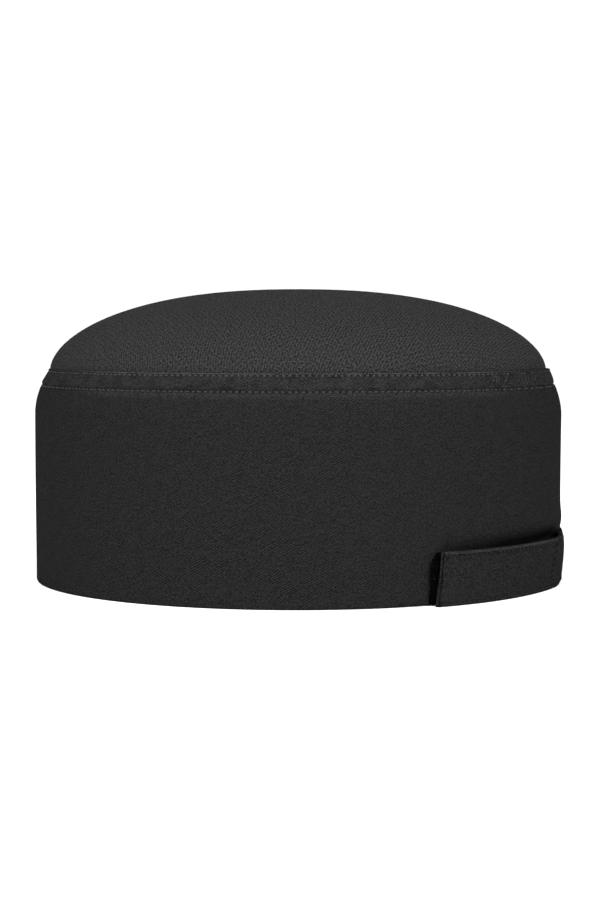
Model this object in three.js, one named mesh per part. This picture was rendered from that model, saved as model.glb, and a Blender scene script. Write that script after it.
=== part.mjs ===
// Pillbox work cap: a doubled twill band, a narrow sewn strip and a domed crown of knitted mesh,
// with an adjuster tab that wraps from the back seam round the wearer's left side.
// Millimetres, +Z up. The origin is the centre of the rim on the surface that the cap stands on.
// The wearer faces -X, so the back seam is at +X and the tab lies on the -Y side.
import * as THREE from 'three';

// Rim oval, measured over the outside of the band
const HALF_LENGTH = 97;
const HALF_WIDTH = 86;

// Band
const BAND_WALL = 2;
const BAND_TOP = 71.2;
const SHOULDER_START = 61;
const SHOULDER_RADIUS = 25;
const HEM_ROUNDING = 0.45;

// The tab draws the hem in at the back, and its lower edge holds the hem off the surface
const CINCH_DEPTH = 2.6;
const CINCH_HEIGHT = 24;
const CINCH_MIDDLE = 22;
const CINCH_REACH = 55;
const HEM_LIFT = 1;
const HEM_LIFT_HEIGHT = 40;
const HEM_LIFT_LEFT_END = 95;
const HEM_LIFT_RIGHT_START = 5;
const HEM_LIFT_RIGHT_END = 45;

// Seam strip between band and crown
const STRIP_FOOT = 66;
const STRIP_TOP = 77.1;

// Crown
const CROWN_WALL = 1.2;
const CROWN_INSET = 5.5;
const CROWN_BASE = 77.1;
const CROWN_RISE = 29.6;
const CROWN_HEM = 72;
const CROWN_PLAN_POWER = 2.33;
const CROWN_RISE_POWER = 1.81;

// Adjuster tab and its hook and loop tapes, with the gap that sewn pieces keep
const SEWN_GAP = 0.3;
const TAPE_WALL = 0.9;
const TAB_WALL = 1.5;
const TAB_TIP_HEIGHT = 18.4;
const TAB_ROOT_HEIGHT = 18.8;
const TAB_ROOT = -4;
const TAB_RISE_START = 8;
const TAB_TIP_TOP = 61.4;
const TAB_TIP_BOTTOM = 62.7;
const TAB_SOFT_EDGE = 0.5;
const LOOP_START = 18;
const LOOP_SHOWING = 1.8;
const LOOP_FOOT = 1.3;
const LOOP_TOP = 16.9;
const HOOK_START = 20;
const HOOK_SET_IN = 1.2;
const HOOK_FOOT = 1.6;
const HOOK_TOP = 15.9;

// Steps round the oval and over the crown
const TURN_STEPS = 72;
const CROWN_STEPS = 12;
const PANEL_STEP = 3;
const PANEL_ROWS = 4;

const twill = new THREE.MeshStandardMaterial({ color: 0x2e2e2e, roughness: 0.9, metalness: 0 });
const stripTwill = new THREE.MeshStandardMaterial({ color: 0x333333, roughness: 0.9, metalness: 0 });
const meshKnit = new THREE.MeshStandardMaterial({ color: 0x3a3a3a, roughness: 0.95, metalness: 0 });
const loopTape = new THREE.MeshStandardMaterial({ color: 0x0c0c0c, roughness: 1, metalness: 0 });
const hookTape = new THREE.MeshStandardMaterial({ color: 0x141414, roughness: 0.6, metalness: 0 });

// Rises smoothly from 0 to 1 as value goes from start to end
function ease(value, start, end) {
  const share = THREE.MathUtils.clamp((value - start) / (end - start), 0, 1);
  return share * share * (3 - 2 * share);
}

// How far the drawn-in hem leaves the oval, at an angle from the back seam and a height
function cinch(angle, z) {
  const offMiddle = Math.abs(angle - CINCH_MIDDLE);
  if (offMiddle > CINCH_REACH) {
    return 0;
  }
  const aroundShare = Math.cos((offMiddle / CINCH_REACH) * (Math.PI / 2)) ** 2;
  return CINCH_DEPTH * aroundShare * (1 - ease(z, 0, CINCH_HEIGHT));
}

// How far the hem is held off the surface behind and beside the tab
function hemLift(angle, z) {
  const fade = angle > 0
    ? ease(angle, TAB_TIP_BOTTOM, HEM_LIFT_LEFT_END)
    : ease(-angle, HEM_LIFT_RIGHT_START, HEM_LIFT_RIGHT_END);
  return HEM_LIFT * (1 - fade) * Math.max(0, 1 - z / HEM_LIFT_HEIGHT);
}

// A point on the oval's family: angle in degrees from the back seam towards the wearer's left
function ovalPoint(halfLength, halfWidth, angle, z) {
  const turn = THREE.MathUtils.degToRad(angle);
  return [halfLength * Math.cos(turn), -halfWidth * Math.sin(turn), z];
}

// Angles from -180 to 180 so that the band's warp reads them directly
function signedAngle(step) {
  const angle = (step * 360) / TURN_STEPS;
  return angle > 180 ? angle - 360 : angle;
}

function solidFrom(vertices, triangles) {
  const geometry = new THREE.BufferGeometry();
  geometry.setAttribute('position', new THREE.Float32BufferAttribute(vertices.flat(), 3));
  geometry.setIndex(triangles.flat());
  geometry.computeVertexNormals();
  return geometry;
}

// Carries a section round the oval. The section is a closed list of rows that runs up the outside
// and down the inside, and place turns a row and an angle into a point. A dome has poles as well:
// the heights on the axis where its outside, after topRow, and its inside meet.
function swept({ section, place, topRow = -1, poles = [] }) {
  const vertices = poles.map((z) => [0, 0, z]);
  const triangles = [];
  const firstRing = vertices.length;
  for (let step = 0; step < TURN_STEPS; step += 1) {
    for (const row of section) {
      vertices.push(place(row, signedAngle(step)));
    }
  }
  for (let step = 0; step < TURN_STEPS; step += 1) {
    const here = firstRing + step * section.length;
    const next = firstRing + ((step + 1) % TURN_STEPS) * section.length;
    for (let index = 0; index < section.length; index += 1) {
      const after = (index + 1) % section.length;
      if (index === topRow) {
        triangles.push([here + index, 0, next + index]);
        triangles.push([here + after, next + after, 1]);
      } else {
        triangles.push([here + index, here + after, next + index]);
        triangles.push([here + after, next + after, next + index]);
      }
    }
  }
  return solidFrom(vertices, triangles);
}

function insetPoint(row, angle) {
  return ovalPoint(HALF_LENGTH - row.inset, HALF_WIDTH - row.inset, angle, row.z);
}

// Band: two layers of twill folded at the hem, upright and then rounded in at the shoulder
function shoulderRows(radius, steps) {
  const fullAngle = Math.asin((BAND_TOP - SHOULDER_START) / SHOULDER_RADIUS);
  const rows = [];
  for (let step = 0; step <= steps; step += 1) {
    const angle = (fullAngle * step) / steps;
    rows.push({
      inset: SHOULDER_RADIUS - radius * Math.cos(angle),
      z: SHOULDER_START + radius * Math.sin(angle),
    });
  }
  return rows;
}

function bandSection() {
  const cinchHeights = [0.25, 0.5, 0.75, 1].map((share) => CINCH_HEIGHT * share);
  const wallHeights = [...cinchHeights, HEM_LIFT_HEIGHT];
  const outside = [
    { inset: HEM_ROUNDING, z: 0 },
    { inset: HEM_ROUNDING / 4, z: HEM_ROUNDING / 4 },
    { inset: 0, z: HEM_ROUNDING },
    ...wallHeights.map((z) => ({ inset: 0, z })),
    ...shoulderRows(SHOULDER_RADIUS, 4),
  ];
  const inside = [
    ...shoulderRows(SHOULDER_RADIUS - BAND_WALL, 3).reverse(),
    ...wallHeights.map((z) => ({ inset: BAND_WALL, z })).reverse(),
    { inset: BAND_WALL, z: HEM_ROUNDING },
    { inset: BAND_WALL - HEM_ROUNDING / 4, z: HEM_ROUNDING / 4 },
    { inset: BAND_WALL - HEM_ROUNDING, z: 0 },
  ];
  return [...outside, ...inside];
}

function bandPoint(row, angle) {
  const inset = row.inset + cinch(angle, row.z);
  return ovalPoint(HALF_LENGTH - inset, HALF_WIDTH - inset, angle, row.z + hemLift(angle, row.z));
}

// Seam strip: a folded strip of twill that leans in, with its lower allowance behind the band
function stripSection() {
  return [
    { inset: 4.3, z: STRIP_FOOT },
    { inset: 4.3, z: 70.8 },
    { inset: 2.45, z: 71.6 },
    { inset: 3.1, z: 73.8 },
    { inset: 3.6, z: 75.2 },
    { inset: 4.0, z: 76.1 },
    { inset: 4.5, z: 76.8 },
    { inset: CROWN_INSET - SEWN_GAP, z: STRIP_TOP },
    { inset: CROWN_INSET - SEWN_GAP, z: CROWN_HEM - SEWN_GAP },
    { inset: CROWN_INSET, z: CROWN_HEM - 0.8 },
    { inset: CROWN_INSET, z: STRIP_FOOT },
  ];
}

// Crown: a domed shell on the oval's plan, with an upright allowance behind the seam strip
function domeRows(wall, steps) {
  const rows = [];
  for (let step = 0; step <= steps; step += 1) {
    const angle = (Math.PI / 2) * (step / steps);
    rows.push({
      share: step === steps ? 0 : Math.cos(angle) ** (2 / CROWN_PLAN_POWER),
      inset: CROWN_INSET + wall,
      z: CROWN_BASE + (CROWN_RISE - wall) * Math.sin(angle) ** (2 / CROWN_RISE_POWER),
    });
  }
  return rows;
}

function domePoint(row, angle) {
  const halfLength = (HALF_LENGTH - row.inset) * row.share;
  const halfWidth = (HALF_WIDTH - row.inset) * row.share;
  return ovalPoint(halfLength, halfWidth, angle, row.z);
}

function crownSolid() {
  const outside = [{ share: 1, inset: CROWN_INSET, z: CROWN_HEM }, ...domeRows(0, CROWN_STEPS)];
  const inside = domeRows(CROWN_WALL, CROWN_STEPS - 2).reverse();
  inside.push({ share: 1, inset: CROWN_INSET + CROWN_WALL, z: CROWN_HEM });
  const poles = [outside.pop().z, inside.shift().z];
  const section = [...outside, ...inside];
  return swept({ section, place: domePoint, topRow: outside.length - 1, poles });
}

// A strap or tape laid round the band between a root edge and a tip edge. Each edge has the angle
// and height of its lower and upper corner. The standoff from the band may change along the
// panel, and softEdge sets the outer face's border back.
function wrappedPanel({ root, tip, standoff, wall, softEdge }) {
  const columns = Math.ceil((tip.lowAngle - root.lowAngle) / PANEL_STEP);
  const rows = PANEL_ROWS;
  const blend = THREE.MathUtils.lerp;
  const vertices = [];
  const triangles = [];
  const panelPoint = (column, row, outward) => {
    const along = column / columns;
    const rise = row / rows;
    const z = blend(blend(root.low, tip.low, along), blend(root.high, tip.high, along), rise);
    const rootAngle = blend(root.lowAngle, root.highAngle, rise);
    const tipAngle = blend(tip.lowAngle, tip.highAngle, rise);
    const angle = blend(rootAngle, tipAngle, along);
    const onBorder = column === 0 || column === columns || row === 0 || row === rows;
    const setBack = outward > 0 && onBorder ? softEdge : 0;
    const reach = standoff(angle) + outward * wall - setBack - cinch(angle, z);
    return ovalPoint(HALF_LENGTH + reach, HALF_WIDTH + reach, angle, z);
  };
  for (const outward of [0, 1]) {
    for (let column = 0; column <= columns; column += 1) {
      for (let row = 0; row <= rows; row += 1) {
        vertices.push(panelPoint(column, row, outward));
      }
    }
  }
  const faceSize = (columns + 1) * (rows + 1);
  const at = (column, row, outward) => outward * faceSize + column * (rows + 1) + row;
  const quad = (a, b, c, d) => triangles.push([a, b, c], [a, c, d]);
  for (let column = 0; column < columns; column += 1) {
    const next = column + 1;
    for (let row = 0; row < rows; row += 1) {
      quad(at(column, row, 1), at(column, row + 1, 1), at(next, row + 1, 1), at(next, row, 1));
      quad(at(column, row, 0), at(next, row, 0), at(next, row + 1, 0), at(column, row + 1, 0));
    }
    quad(at(column, 0, 0), at(column, 0, 1), at(next, 0, 1), at(next, 0, 0));
    quad(at(column, rows, 0), at(next, rows, 0), at(next, rows, 1), at(column, rows, 1));
  }
  for (let row = 0; row < rows; row += 1) {
    const above = row + 1;
    quad(at(0, row, 0), at(0, above, 0), at(0, above, 1), at(0, row, 1));
    quad(at(columns, row, 0), at(columns, row, 1), at(columns, above, 1), at(columns, above, 0));
  }
  return solidFrom(vertices, triangles);
}

// Loop tape sewn to the band, with a narrow end showing past the tab's tip
function loopTapeSolid() {
  return wrappedPanel({
    root: { lowAngle: LOOP_START, highAngle: LOOP_START, low: LOOP_FOOT, high: LOOP_TOP },
    tip: {
      lowAngle: TAB_TIP_BOTTOM + LOOP_SHOWING,
      highAngle: TAB_TIP_TOP + LOOP_SHOWING,
      low: LOOP_FOOT,
      high: LOOP_TOP,
    },
    standoff: () => SEWN_GAP,
    wall: TAPE_WALL,
    softEdge: 0,
  });
}

// Hook tape sewn to the inside of the tab, inside its stitched rectangle
function hookTapeSolid() {
  return wrappedPanel({
    root: { lowAngle: HOOK_START, highAngle: HOOK_START, low: HOOK_FOOT, high: HOOK_TOP },
    tip: {
      lowAngle: TAB_TIP_BOTTOM - HOOK_SET_IN,
      highAngle: TAB_TIP_TOP - HOOK_SET_IN,
      low: HOOK_FOOT,
      high: HOOK_TOP,
    },
    standoff: () => 2 * SEWN_GAP + TAPE_WALL,
    wall: TAPE_WALL,
    softEdge: 0,
  });
}

// Tab: lies on the band at the back seam, rises over the tapes and ends in a slanted edge
function tabSolid() {
  const overTapes = 3 * SEWN_GAP + 2 * TAPE_WALL;
  return wrappedPanel({
    root: { lowAngle: TAB_ROOT, highAngle: TAB_ROOT, low: 0, high: TAB_ROOT_HEIGHT },
    tip: { lowAngle: TAB_TIP_BOTTOM, highAngle: TAB_TIP_TOP, low: 0, high: TAB_TIP_HEIGHT },
    standoff: (angle) => SEWN_GAP + (overTapes - SEWN_GAP) * ease(angle, TAB_RISE_START, LOOP_START),
    wall: TAB_WALL,
    softEdge: TAB_SOFT_EDGE,
  });
}

const cap = new THREE.Group();

function addPiece(name, geometry, material) {
  const piece = new THREE.Mesh(geometry, material);
  piece.name = name;
  cap.add(piece);
}

addPiece('band', swept({ section: bandSection(), place: bandPoint }), twill);
addPiece('seam_strip', swept({ section: stripSection(), place: insetPoint }), stripTwill);
addPiece('mesh_crown', crownSolid(), meshKnit);
addPiece('loop_patch', loopTapeSolid(), loopTape);
addPiece('hook_patch', hookTapeSolid(), hookTape);
addPiece('adjuster_tab', tabSolid(), twill);

export default cap;
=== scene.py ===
"""A work cap of black twill with a mesh crown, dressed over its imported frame.

The cap stands on its rim. A doubled twill band carries a narrow sewn strip, the strip carries a domed
crown of knitted mesh, and an adjuster tab wraps from the back seam round the wearer's left side.

Shapes are worked out in millimetres, in the part's own frame, and turned to metres when a mesh is made.
Angles run in degrees from the back seam at +X towards the wearer's left at -Y. Cloth coordinates, kept
as the UV map, are millimetres along and up the cloth, so every weave has its real size.
"""
import logging
from dataclasses import dataclass, field
from enum import Enum

import bpy
import numpy as np
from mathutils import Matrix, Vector


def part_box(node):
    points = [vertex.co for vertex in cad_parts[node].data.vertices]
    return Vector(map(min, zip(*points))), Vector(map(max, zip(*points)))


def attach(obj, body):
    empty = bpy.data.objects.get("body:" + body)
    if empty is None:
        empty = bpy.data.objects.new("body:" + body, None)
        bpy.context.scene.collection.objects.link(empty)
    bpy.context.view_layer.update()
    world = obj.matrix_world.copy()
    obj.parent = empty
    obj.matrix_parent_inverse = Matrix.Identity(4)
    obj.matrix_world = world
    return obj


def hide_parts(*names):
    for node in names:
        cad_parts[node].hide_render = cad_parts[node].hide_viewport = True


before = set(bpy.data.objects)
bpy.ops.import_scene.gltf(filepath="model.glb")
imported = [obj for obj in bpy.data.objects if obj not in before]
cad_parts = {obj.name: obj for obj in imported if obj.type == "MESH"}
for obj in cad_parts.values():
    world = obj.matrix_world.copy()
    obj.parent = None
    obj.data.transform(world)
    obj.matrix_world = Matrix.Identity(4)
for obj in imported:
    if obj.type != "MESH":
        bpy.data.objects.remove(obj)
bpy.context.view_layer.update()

METRES = 0.001
CLOTH_MAP = "cloth"
# Point attribute by which shade is painted into the colour: in needle holes, on the mesh's hole floors and
# edges, and on its inner side
PAINTED_SHADE = "depth"
# Point attribute by which a highlight is painted into the colour, on the lit edges of folds and rolls
PAINTED_HIGHLIGHT = "painted_highlight"
# The numbers of a Mix node's two colour inputs and of its colour output
MIX_A, MIX_B, MIXED = 6, 7, 2

log = logging.getLogger("work_cap")

Socket = bpy.types.NodeSocket
Material = bpy.types.Material
Feed = Socket | float | tuple[float, ...]
Array = np.ndarray
Marks = dict[str, Array]
Pair = tuple[float, float]
Triple = tuple[float, float, float]
# Where a rise starts and ends, and then where a fall starts and ends
Slopes = tuple[float, float, float, float]


class Slot(Enum):
    """The record's material slots."""

    TWILL = "twill"
    STRIP_TWILL = "strip_twill"
    MESH_KNIT = "mesh_knit"
    LOOP_TAPE = "loop_tape"
    HOOK_TAPE = "hook_tape"


class Lean(Enum):
    """The way that a twill's ribs rise across the cloth."""

    TO_THE_RIGHT = 1.0
    TO_THE_LEFT = -1.0


def ease(value: Array | float, start: float, end: float) -> Array:
    """Rises smoothly from 0 to 1.

    Args:
        value: Where to look.
        start: The value at which the rise starts.
        end: The value at which it ends.

    Returns:
        The share of the rise, for each value.
    """
    share = np.clip((np.asarray(value, float) - start) / (end - start), 0.0, 1.0)
    return share * share * (3.0 - 2.0 * share)


def bell(value: Array | float, middle: float, reach: float) -> Array:
    """A smooth hump of height 1.

    Args:
        value: Where to look.
        middle: The value at its top.
        reach: How far from the top it has fallen to a little over a third.

    Returns:
        The height of the hump, for each value.
    """
    return np.exp(-(((np.asarray(value, float) - middle) / reach) ** 2))


def plateau(
    value: Array | float, rise_start: float, rise_end: float, fall_start: float, fall_end: float
) -> Array:
    """1 between two smooth slopes, and 0 outside them.

    Args:
        value: Where to look.
        rise_start: The value at which the rise starts.
        rise_end: The value at which it ends.
        fall_start: The value at which the fall starts.
        fall_end: The value at which it ends.

    Returns:
        The height, for each value.
    """
    return ease(value, rise_start, rise_end) * (1.0 - ease(value, fall_start, fall_end))


def dots(place: Array, sharpness: int) -> Array:
    """A row of dots, one at each whole number.

    Args:
        place: Where to look, counted in dots.
        sharpness: How narrow the dots are.

    Returns:
        From 1 on a dot to 0 half-way between two.
    """
    return (np.cos(place * 2 * np.pi) * 0.5 + 0.5) ** sharpness


def lengths_along(line: Array) -> Array:
    """How far along a line each of its points lies from the first."""
    return np.concatenate([[0.0], np.cumsum(np.linalg.norm(np.diff(line, axis=0), axis=1))])


def signed(angle: Array | float) -> Array:
    """The same angle between -180 and 180 degrees."""
    return (np.asarray(angle, float) + 180.0) % 360.0 - 180.0


def unit(vectors: Array) -> Array:
    """The same directions with a length of 1."""
    return vectors / np.linalg.norm(vectors, axis=-1, keepdims=True)


@dataclass(frozen=True)
class Ripples:
    """Small waves round a closed loop of cloth, the same in every run.

    Attributes:
        fewest: The number of waves in the longest ripple.
        most: The number of waves in the shortest ripple.
        count: How many ripples are added up.
        seed: Where the random choice starts.
    """

    fewest: int
    most: int
    count: int
    seed: int

    def at(self, angle: Array) -> Array:
        """The height of the ripples, about -1 to 1.

        Args:
            angle: Degrees round the loop.

        Returns:
            The height at each angle.
        """
        chance = np.random.default_rng(self.seed)
        waves = chance.integers(self.fewest, self.most + 1, self.count)
        starts = chance.uniform(0.0, 2.0 * np.pi, self.count)
        turn = np.radians(np.asarray(angle, float))
        total = sum(np.sin(wave * turn + start) for wave, start in zip(waves, starts))
        return total / np.sqrt(self.count)


@dataclass
class ClothMesh:
    """Collects points and faces with their cloth coordinates, and makes one object of them.

    Attributes:
        name: The piece's name.
        points: Blocks of points in millimetres.
        faces: Blocks of corner numbers, one row for each face.
        cloth: Blocks of cloth coordinates, one for each corner of each face.
        marks: For each named mark, the number of its blocks' first points and their values, 0 to 1.
        filled: How many points there are so far.
    """

    name: str
    points: list[Array] = field(default_factory=list)
    faces: list[Array] = field(default_factory=list)
    cloth: list[Array] = field(default_factory=list)
    marks: dict[str, list[tuple[int, Array]]] = field(default_factory=dict)
    filled: int = 0

    def add(self, points: Array, faces: Array, cloth: Array, marks: Marks | None = None) -> None:
        """Adds faces.

        Args:
            points: The points, one row each.
            faces: The corners of each face, counted within these points.
            cloth: The cloth coordinates of each corner of each face.
            marks: The points' values for each mark that they have.
        """
        for name, values in (marks or {}).items():
            self.marks.setdefault(name, []).append((self.filled, values.ravel()))
        self.points.append(points.reshape(-1, 3))
        self.faces.append(faces + self.filled)
        self.cloth.append(cloth)
        self.filled += len(self.points[-1])

    def add_grid(
        self, points: Array, cloth: Array, closed: tuple[bool, bool], marks: Marks | None = None
    ) -> None:
        """Adds a sheet of four-sided faces.

        Args:
            points: Rows and columns of points. Rows run up the cloth's right side and columns
                run so that the right side faces out.
            cloth: Cloth coordinates, with one more row or column wherever the sheet is closed.
            closed: Whether the rows and whether the columns come round to the first again.
            marks: Rows and columns of values for each mark that the points have.
        """
        rows, columns = points.shape[:2]
        numbers = np.arange(rows * columns).reshape(rows, columns)
        for axis in range(2):
            if closed[axis]:
                numbers = np.concatenate([numbers, numbers.take([0], axis=axis)], axis=axis)
        corners = [(slice(None, -1), slice(None, -1)), (slice(None, -1), slice(1, None))]
        corners += [(slice(1, None), slice(1, None)), (slice(1, None), slice(None, -1))]
        faces = np.stack([numbers[place] for place in corners], axis=-1).reshape(-1, 4)
        coordinates = np.stack([cloth[place] for place in corners], axis=-2).reshape(-1, 4, 2)
        self.add(points, faces, coordinates, marks)

    def add_swept(self, points: Array, section: Array, along: Array, loop: bool, marks: Marks) -> None:
        """Adds a closed section that was carried along the cloth.

        Args:
            points: Rows of points round the section, and columns along the cloth.
            section: The section's points where its size is read for the cloth coordinates.
            along: How far along the cloth each column lies.
            loop: Whether the columns come round to the first again.
            marks: Rows and columns of values for each mark that the points have.
        """
        up = lengths_along(np.concatenate([section, section[:1]]))
        cloth = np.stack(np.broadcast_arrays(along[None], up[:, None]), axis=-1)
        turned = {name: values[:, ::-1] for name, values in marks.items()}
        self.add_grid(points[:, ::-1], cloth[:, ::-1], (True, loop), turned)

    def build(self, normals: Array | None = None) -> bpy.types.Object:
        """Makes the object, smooth, in metres, and links it to the scene.

        Args:
            normals: Its directions of light at each point, where they aren't the faces' own.

        Returns:
            The new object.
        """
        mesh = bpy.data.meshes.new(self.name)
        corners = [face for block in self.faces for face in block.tolist()]
        mesh.from_pydata((np.concatenate(self.points) * METRES).tolist(), [], corners)
        layer = mesh.uv_layers.new(name=CLOTH_MAP)
        coordinates = np.concatenate([block.reshape(-1, 2) for block in self.cloth])
        layer.uv.foreach_set("vector", coordinates.astype(np.float32).ravel())
        mesh.shade_smooth()
        for name, blocks in self.marks.items():
            values = np.zeros(self.filled, np.float32)
            for start, block in blocks:
                values[start:start + len(block)] = block
            mesh.attributes.new(name, "FLOAT", "POINT").data.foreach_set("value", values)
        if normals is not None:
            mesh.normals_split_custom_set_from_vertices(normals.tolist())
        piece = bpy.data.objects.new(self.name, mesh)
        bpy.context.scene.collection.objects.link(piece)
        return piece


def finish_piece(piece: bpy.types.Object, material: Material, slot: Slot, *nodes: str) -> None:
    """Gives a piece its material and its body, and reports it.

    Args:
        piece: The piece.
        material: What it is made of.
        slot: The record's slot that its finish comes from. It is not used.
        nodes: The frame's nodes that it stands for.
    """
    piece.data.materials.append(material)
    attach(piece, "root")
    if nodes:
        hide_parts(*nodes)
    triangles = sum(len(polygon.vertices) - 2 for polygon in piece.data.polygons)
    log.info("%s: %d triangles, %s", piece.name, triangles, material.name)


@dataclass(frozen=True)
class CapForm:
    """The curves that all the cloth follows.

    Attributes:
        half_length: Half the band's length, front to back.
        half_width: Half the band's width.
        strip_top: The height of the strip's fold.
        crown_half_length: Half the crown's length.
        crown_half_width: Half the crown's width.
        crown_top: The height of the crown's middle.
        shoulder_start: The height at which the band starts to lean in.
        shoulder_radius: The radius of that lean.
        cinch_depth: How far the tab draws the hem in.
        cinch_height: How high that reaches.
        cinch_middle: The angle at its middle.
        cinch_reach: How many degrees it reaches each way.
        hem_lift: How far the tab holds the hem off the surface.
        hem_lift_height: How high the cloth moves with that.
        lift_ahead: The angles between which the lift fades, from the tab's tip towards the front.
        lift_behind: The same past the back seam.
        dome_plan_power: How square the dome's section is along the plan.
        dome_rise_power: How square it is upwards.
        seam_angle: The angle of the back seam.
        fine_steps: How many steps the rim is measured in.
        hole_sharpness: How narrow the needle holes are along a row.
        round_ends: The cosines of the angles between which the long sides turn into the round ends.
        thread_depth: How deep a row of thread lies in the cloth at the round ends.
        thread_ease: How much less deep it lies on the long sides.
    """

    half_length: float
    half_width: float
    strip_top: float
    crown_half_length: float
    crown_half_width: float
    crown_top: float
    shoulder_start: float = 61.0
    shoulder_radius: float = 25.0
    cinch_depth: float = 2.6
    cinch_height: float = 24.0
    cinch_middle: float = 22.0
    cinch_reach: float = 55.0
    hem_lift: float = 0.35
    hem_lift_height: float = 40.0
    lift_ahead: Pair = (62.7, 95.0)
    lift_behind: Pair = (5.0, 45.0)
    dome_plan_power: float = 2.33
    dome_rise_power: float = 1.81
    seam_angle: float = -4.0
    fine_steps: int = 7200
    hole_sharpness: int = 3
    round_ends: Pair = (0.66, 0.86)
    thread_depth: float = 0.3
    thread_ease: float = 0.2

    @classmethod
    def from_frame(cls) -> "CapForm":
        """Reads the outer sizes from the frame's boxes.

        Returns:
            The cap's form.
        """
        band_low, band_high = (np.array(corner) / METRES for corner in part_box("band"))
        strip_high = np.array(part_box("seam_strip")[1]) / METRES
        crown_low, crown_high = (np.array(corner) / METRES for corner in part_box("mesh_crown"))
        return cls(
            half_length=(band_high[0] - band_low[0]) / 2,
            half_width=(band_high[1] - band_low[1]) / 2,
            strip_top=strip_high[2],
            crown_half_length=(crown_high[0] - crown_low[0]) / 2,
            crown_half_width=(crown_high[1] - crown_low[1]) / 2,
            crown_top=crown_high[2],
        )

    def ring(self, angle: Array, height: Array, inset: Array) -> Array:
        """Points on the oval's family.

        Args:
            angle: Degrees from the back seam.
            height: Height above the surface.
            inset: How far inside the rim's outer oval.

        Returns:
            The points.
        """
        turn = np.radians(angle)
        x = (self.half_length - inset) * np.cos(turn)
        y = -(self.half_width - inset) * np.sin(turn)
        return np.stack(np.broadcast_arrays(x, y, height), axis=-1)

    def outward(self, angle: Array) -> Array:
        """The level direction straight out of the oval.

        Args:
            angle: Degrees from the back seam.

        Returns:
            The direction at each angle.
        """
        turn = np.radians(angle)
        x, y = self.half_width * np.cos(turn), -self.half_length * np.sin(turn)
        return unit(np.stack([x, y, np.zeros_like(turn)], axis=-1))

    def sideways(self, angle: Array) -> Array:
        """1 on the cap's two long sides, down to 0 at its round ends; it sets where the folds' painted
        highlights show and how deep the thread sinks.
        """
        return 1.0 - ease(np.abs(np.cos(np.radians(angle))), *self.round_ends)

    def thread_sink(self, angle: Array) -> Array:
        """How deep a row of thread lies in the cloth, more where the round ends pull it tight."""
        return self.thread_depth - self.thread_ease * self.sideways(angle)

    def shoulder(self, height: Array) -> Array:
        """How far the band's outer face leans in at a height."""
        rise = np.clip(height - self.shoulder_start, 0.0, None)
        return self.shoulder_radius - np.sqrt(self.shoulder_radius**2 - rise**2)

    def cinch(self, angle: Array, height: Array) -> Array:
        """How far the tab draws the band in.

        Args:
            angle: Degrees from the back seam.
            height: Height up the band.

        Returns:
            The inset for each angle and height.
        """
        off_middle = np.clip(np.abs(signed(angle) - self.cinch_middle) / self.cinch_reach, 0.0, 1.0)
        around = np.cos(off_middle * np.pi / 2) ** 2
        return self.cinch_depth * around * (1.0 - ease(height, 0.0, self.cinch_height))

    def lift(self, angle: Array, height: Array) -> Array:
        """How far the tab holds the band up.

        Args:
            angle: Degrees from the back seam.
            height: Height up the band.

        Returns:
            The lift for each angle and height.
        """
        turn = signed(angle)
        fade = np.where(turn > 0, ease(turn, *self.lift_ahead), ease(-turn, *self.lift_behind))
        return self.hem_lift * (1.0 - fade) * np.clip(1.0 - height / self.hem_lift_height, 0.0, None)

    def band_face(self, angle: Array, height: Array, sink: Array) -> Array:
        """Points on or under the band's outer face.

        Args:
            angle: Degrees from the back seam.
            height: Height up the band.
            sink: How far under the face, or less than 0 where the point is proud of it.

        Returns:
            The points.
        """
        inset = self.shoulder(height) + self.cinch(angle, height) + sink
        return self.ring(angle, height + self.lift(angle, height), inset)

    def lengths(self, angles: Array) -> Array:
        """How far along the rim each angle lies from the first.

        Args:
            angles: Rising angles in degrees.

        Returns:
            The lengths in millimetres.
        """
        return lengths_along(self.ring(angles, np.zeros_like(angles), 0.0))

    def even_angles(self, count: int) -> Array:
        """Angles that part the rim into equal lengths, all round from the back seam.

        Args:
            count: How many parts.

        Returns:
            One angle more than there are parts, so the last is the first again.
        """
        fine = np.linspace(self.seam_angle, self.seam_angle + 360.0, self.fine_steps + 1)
        lengths = self.lengths(fine)
        return np.interp(np.linspace(0.0, lengths[-1], count + 1), lengths, fine)

    def needle_holes(self, angle: Array, count: int) -> Array:
        """How near each angle is to a needle hole of a row of stitches that starts at the back seam.

        Args:
            angle: Degrees from the back seam.
            count: How many stitches the row has.

        Returns:
            From 0 in the middle of a stitch to 1 at a hole.
        """
        angles = self.even_angles(count)
        wrapped = (angle - self.seam_angle) % 360.0 + self.seam_angle
        return dots(np.interp(wrapped, angles, np.arange(len(angles))), self.hole_sharpness)


def linear(hex_colour: str) -> tuple[float, float, float, float]:
    """Turns an sRGB hex colour to the linear values that shaders take.

    Args:
        hex_colour: Six hex digits after a #.

    Returns:
        Red, green, blue and an alpha of 1.
    """
    shares = [int(hex_colour[place:place + 2], 16) / 255 for place in (1, 3, 5)]
    turned = [share / 12.92 if share <= 0.04045 else ((share + 0.055) / 1.055) ** 2.4 for share in shares]
    return (*turned, 1.0)


def add_node(
    tree: bpy.types.NodeTree,
    kind: str,
    settings: dict[str, object] | None = None,
    feeds: dict[str | int, Feed] | None = None,
) -> bpy.types.Node:
    """Adds a node with its settings and links.

    Args:
        tree: The material's node tree.
        kind: The node's type.
        settings: Values for its attributes.
        feeds: A value for each input, or the socket that feeds it.

    Returns:
        The new node.
    """
    node = tree.nodes.new(kind)
    for name, value in (settings or {}).items():
        setattr(node, name, value)
    for name, feed in (feeds or {}).items():
        if isinstance(feed, Socket):
            tree.links.new(feed, node.inputs[name])
        else:
            node.inputs[name].default_value = feed
    return node


def wave_scale(pitch: float) -> float:
    """The scale at which a wave texture, whose waves lie pi / 10 apart, has a pitch."""
    return np.pi / 10 / pitch


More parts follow.
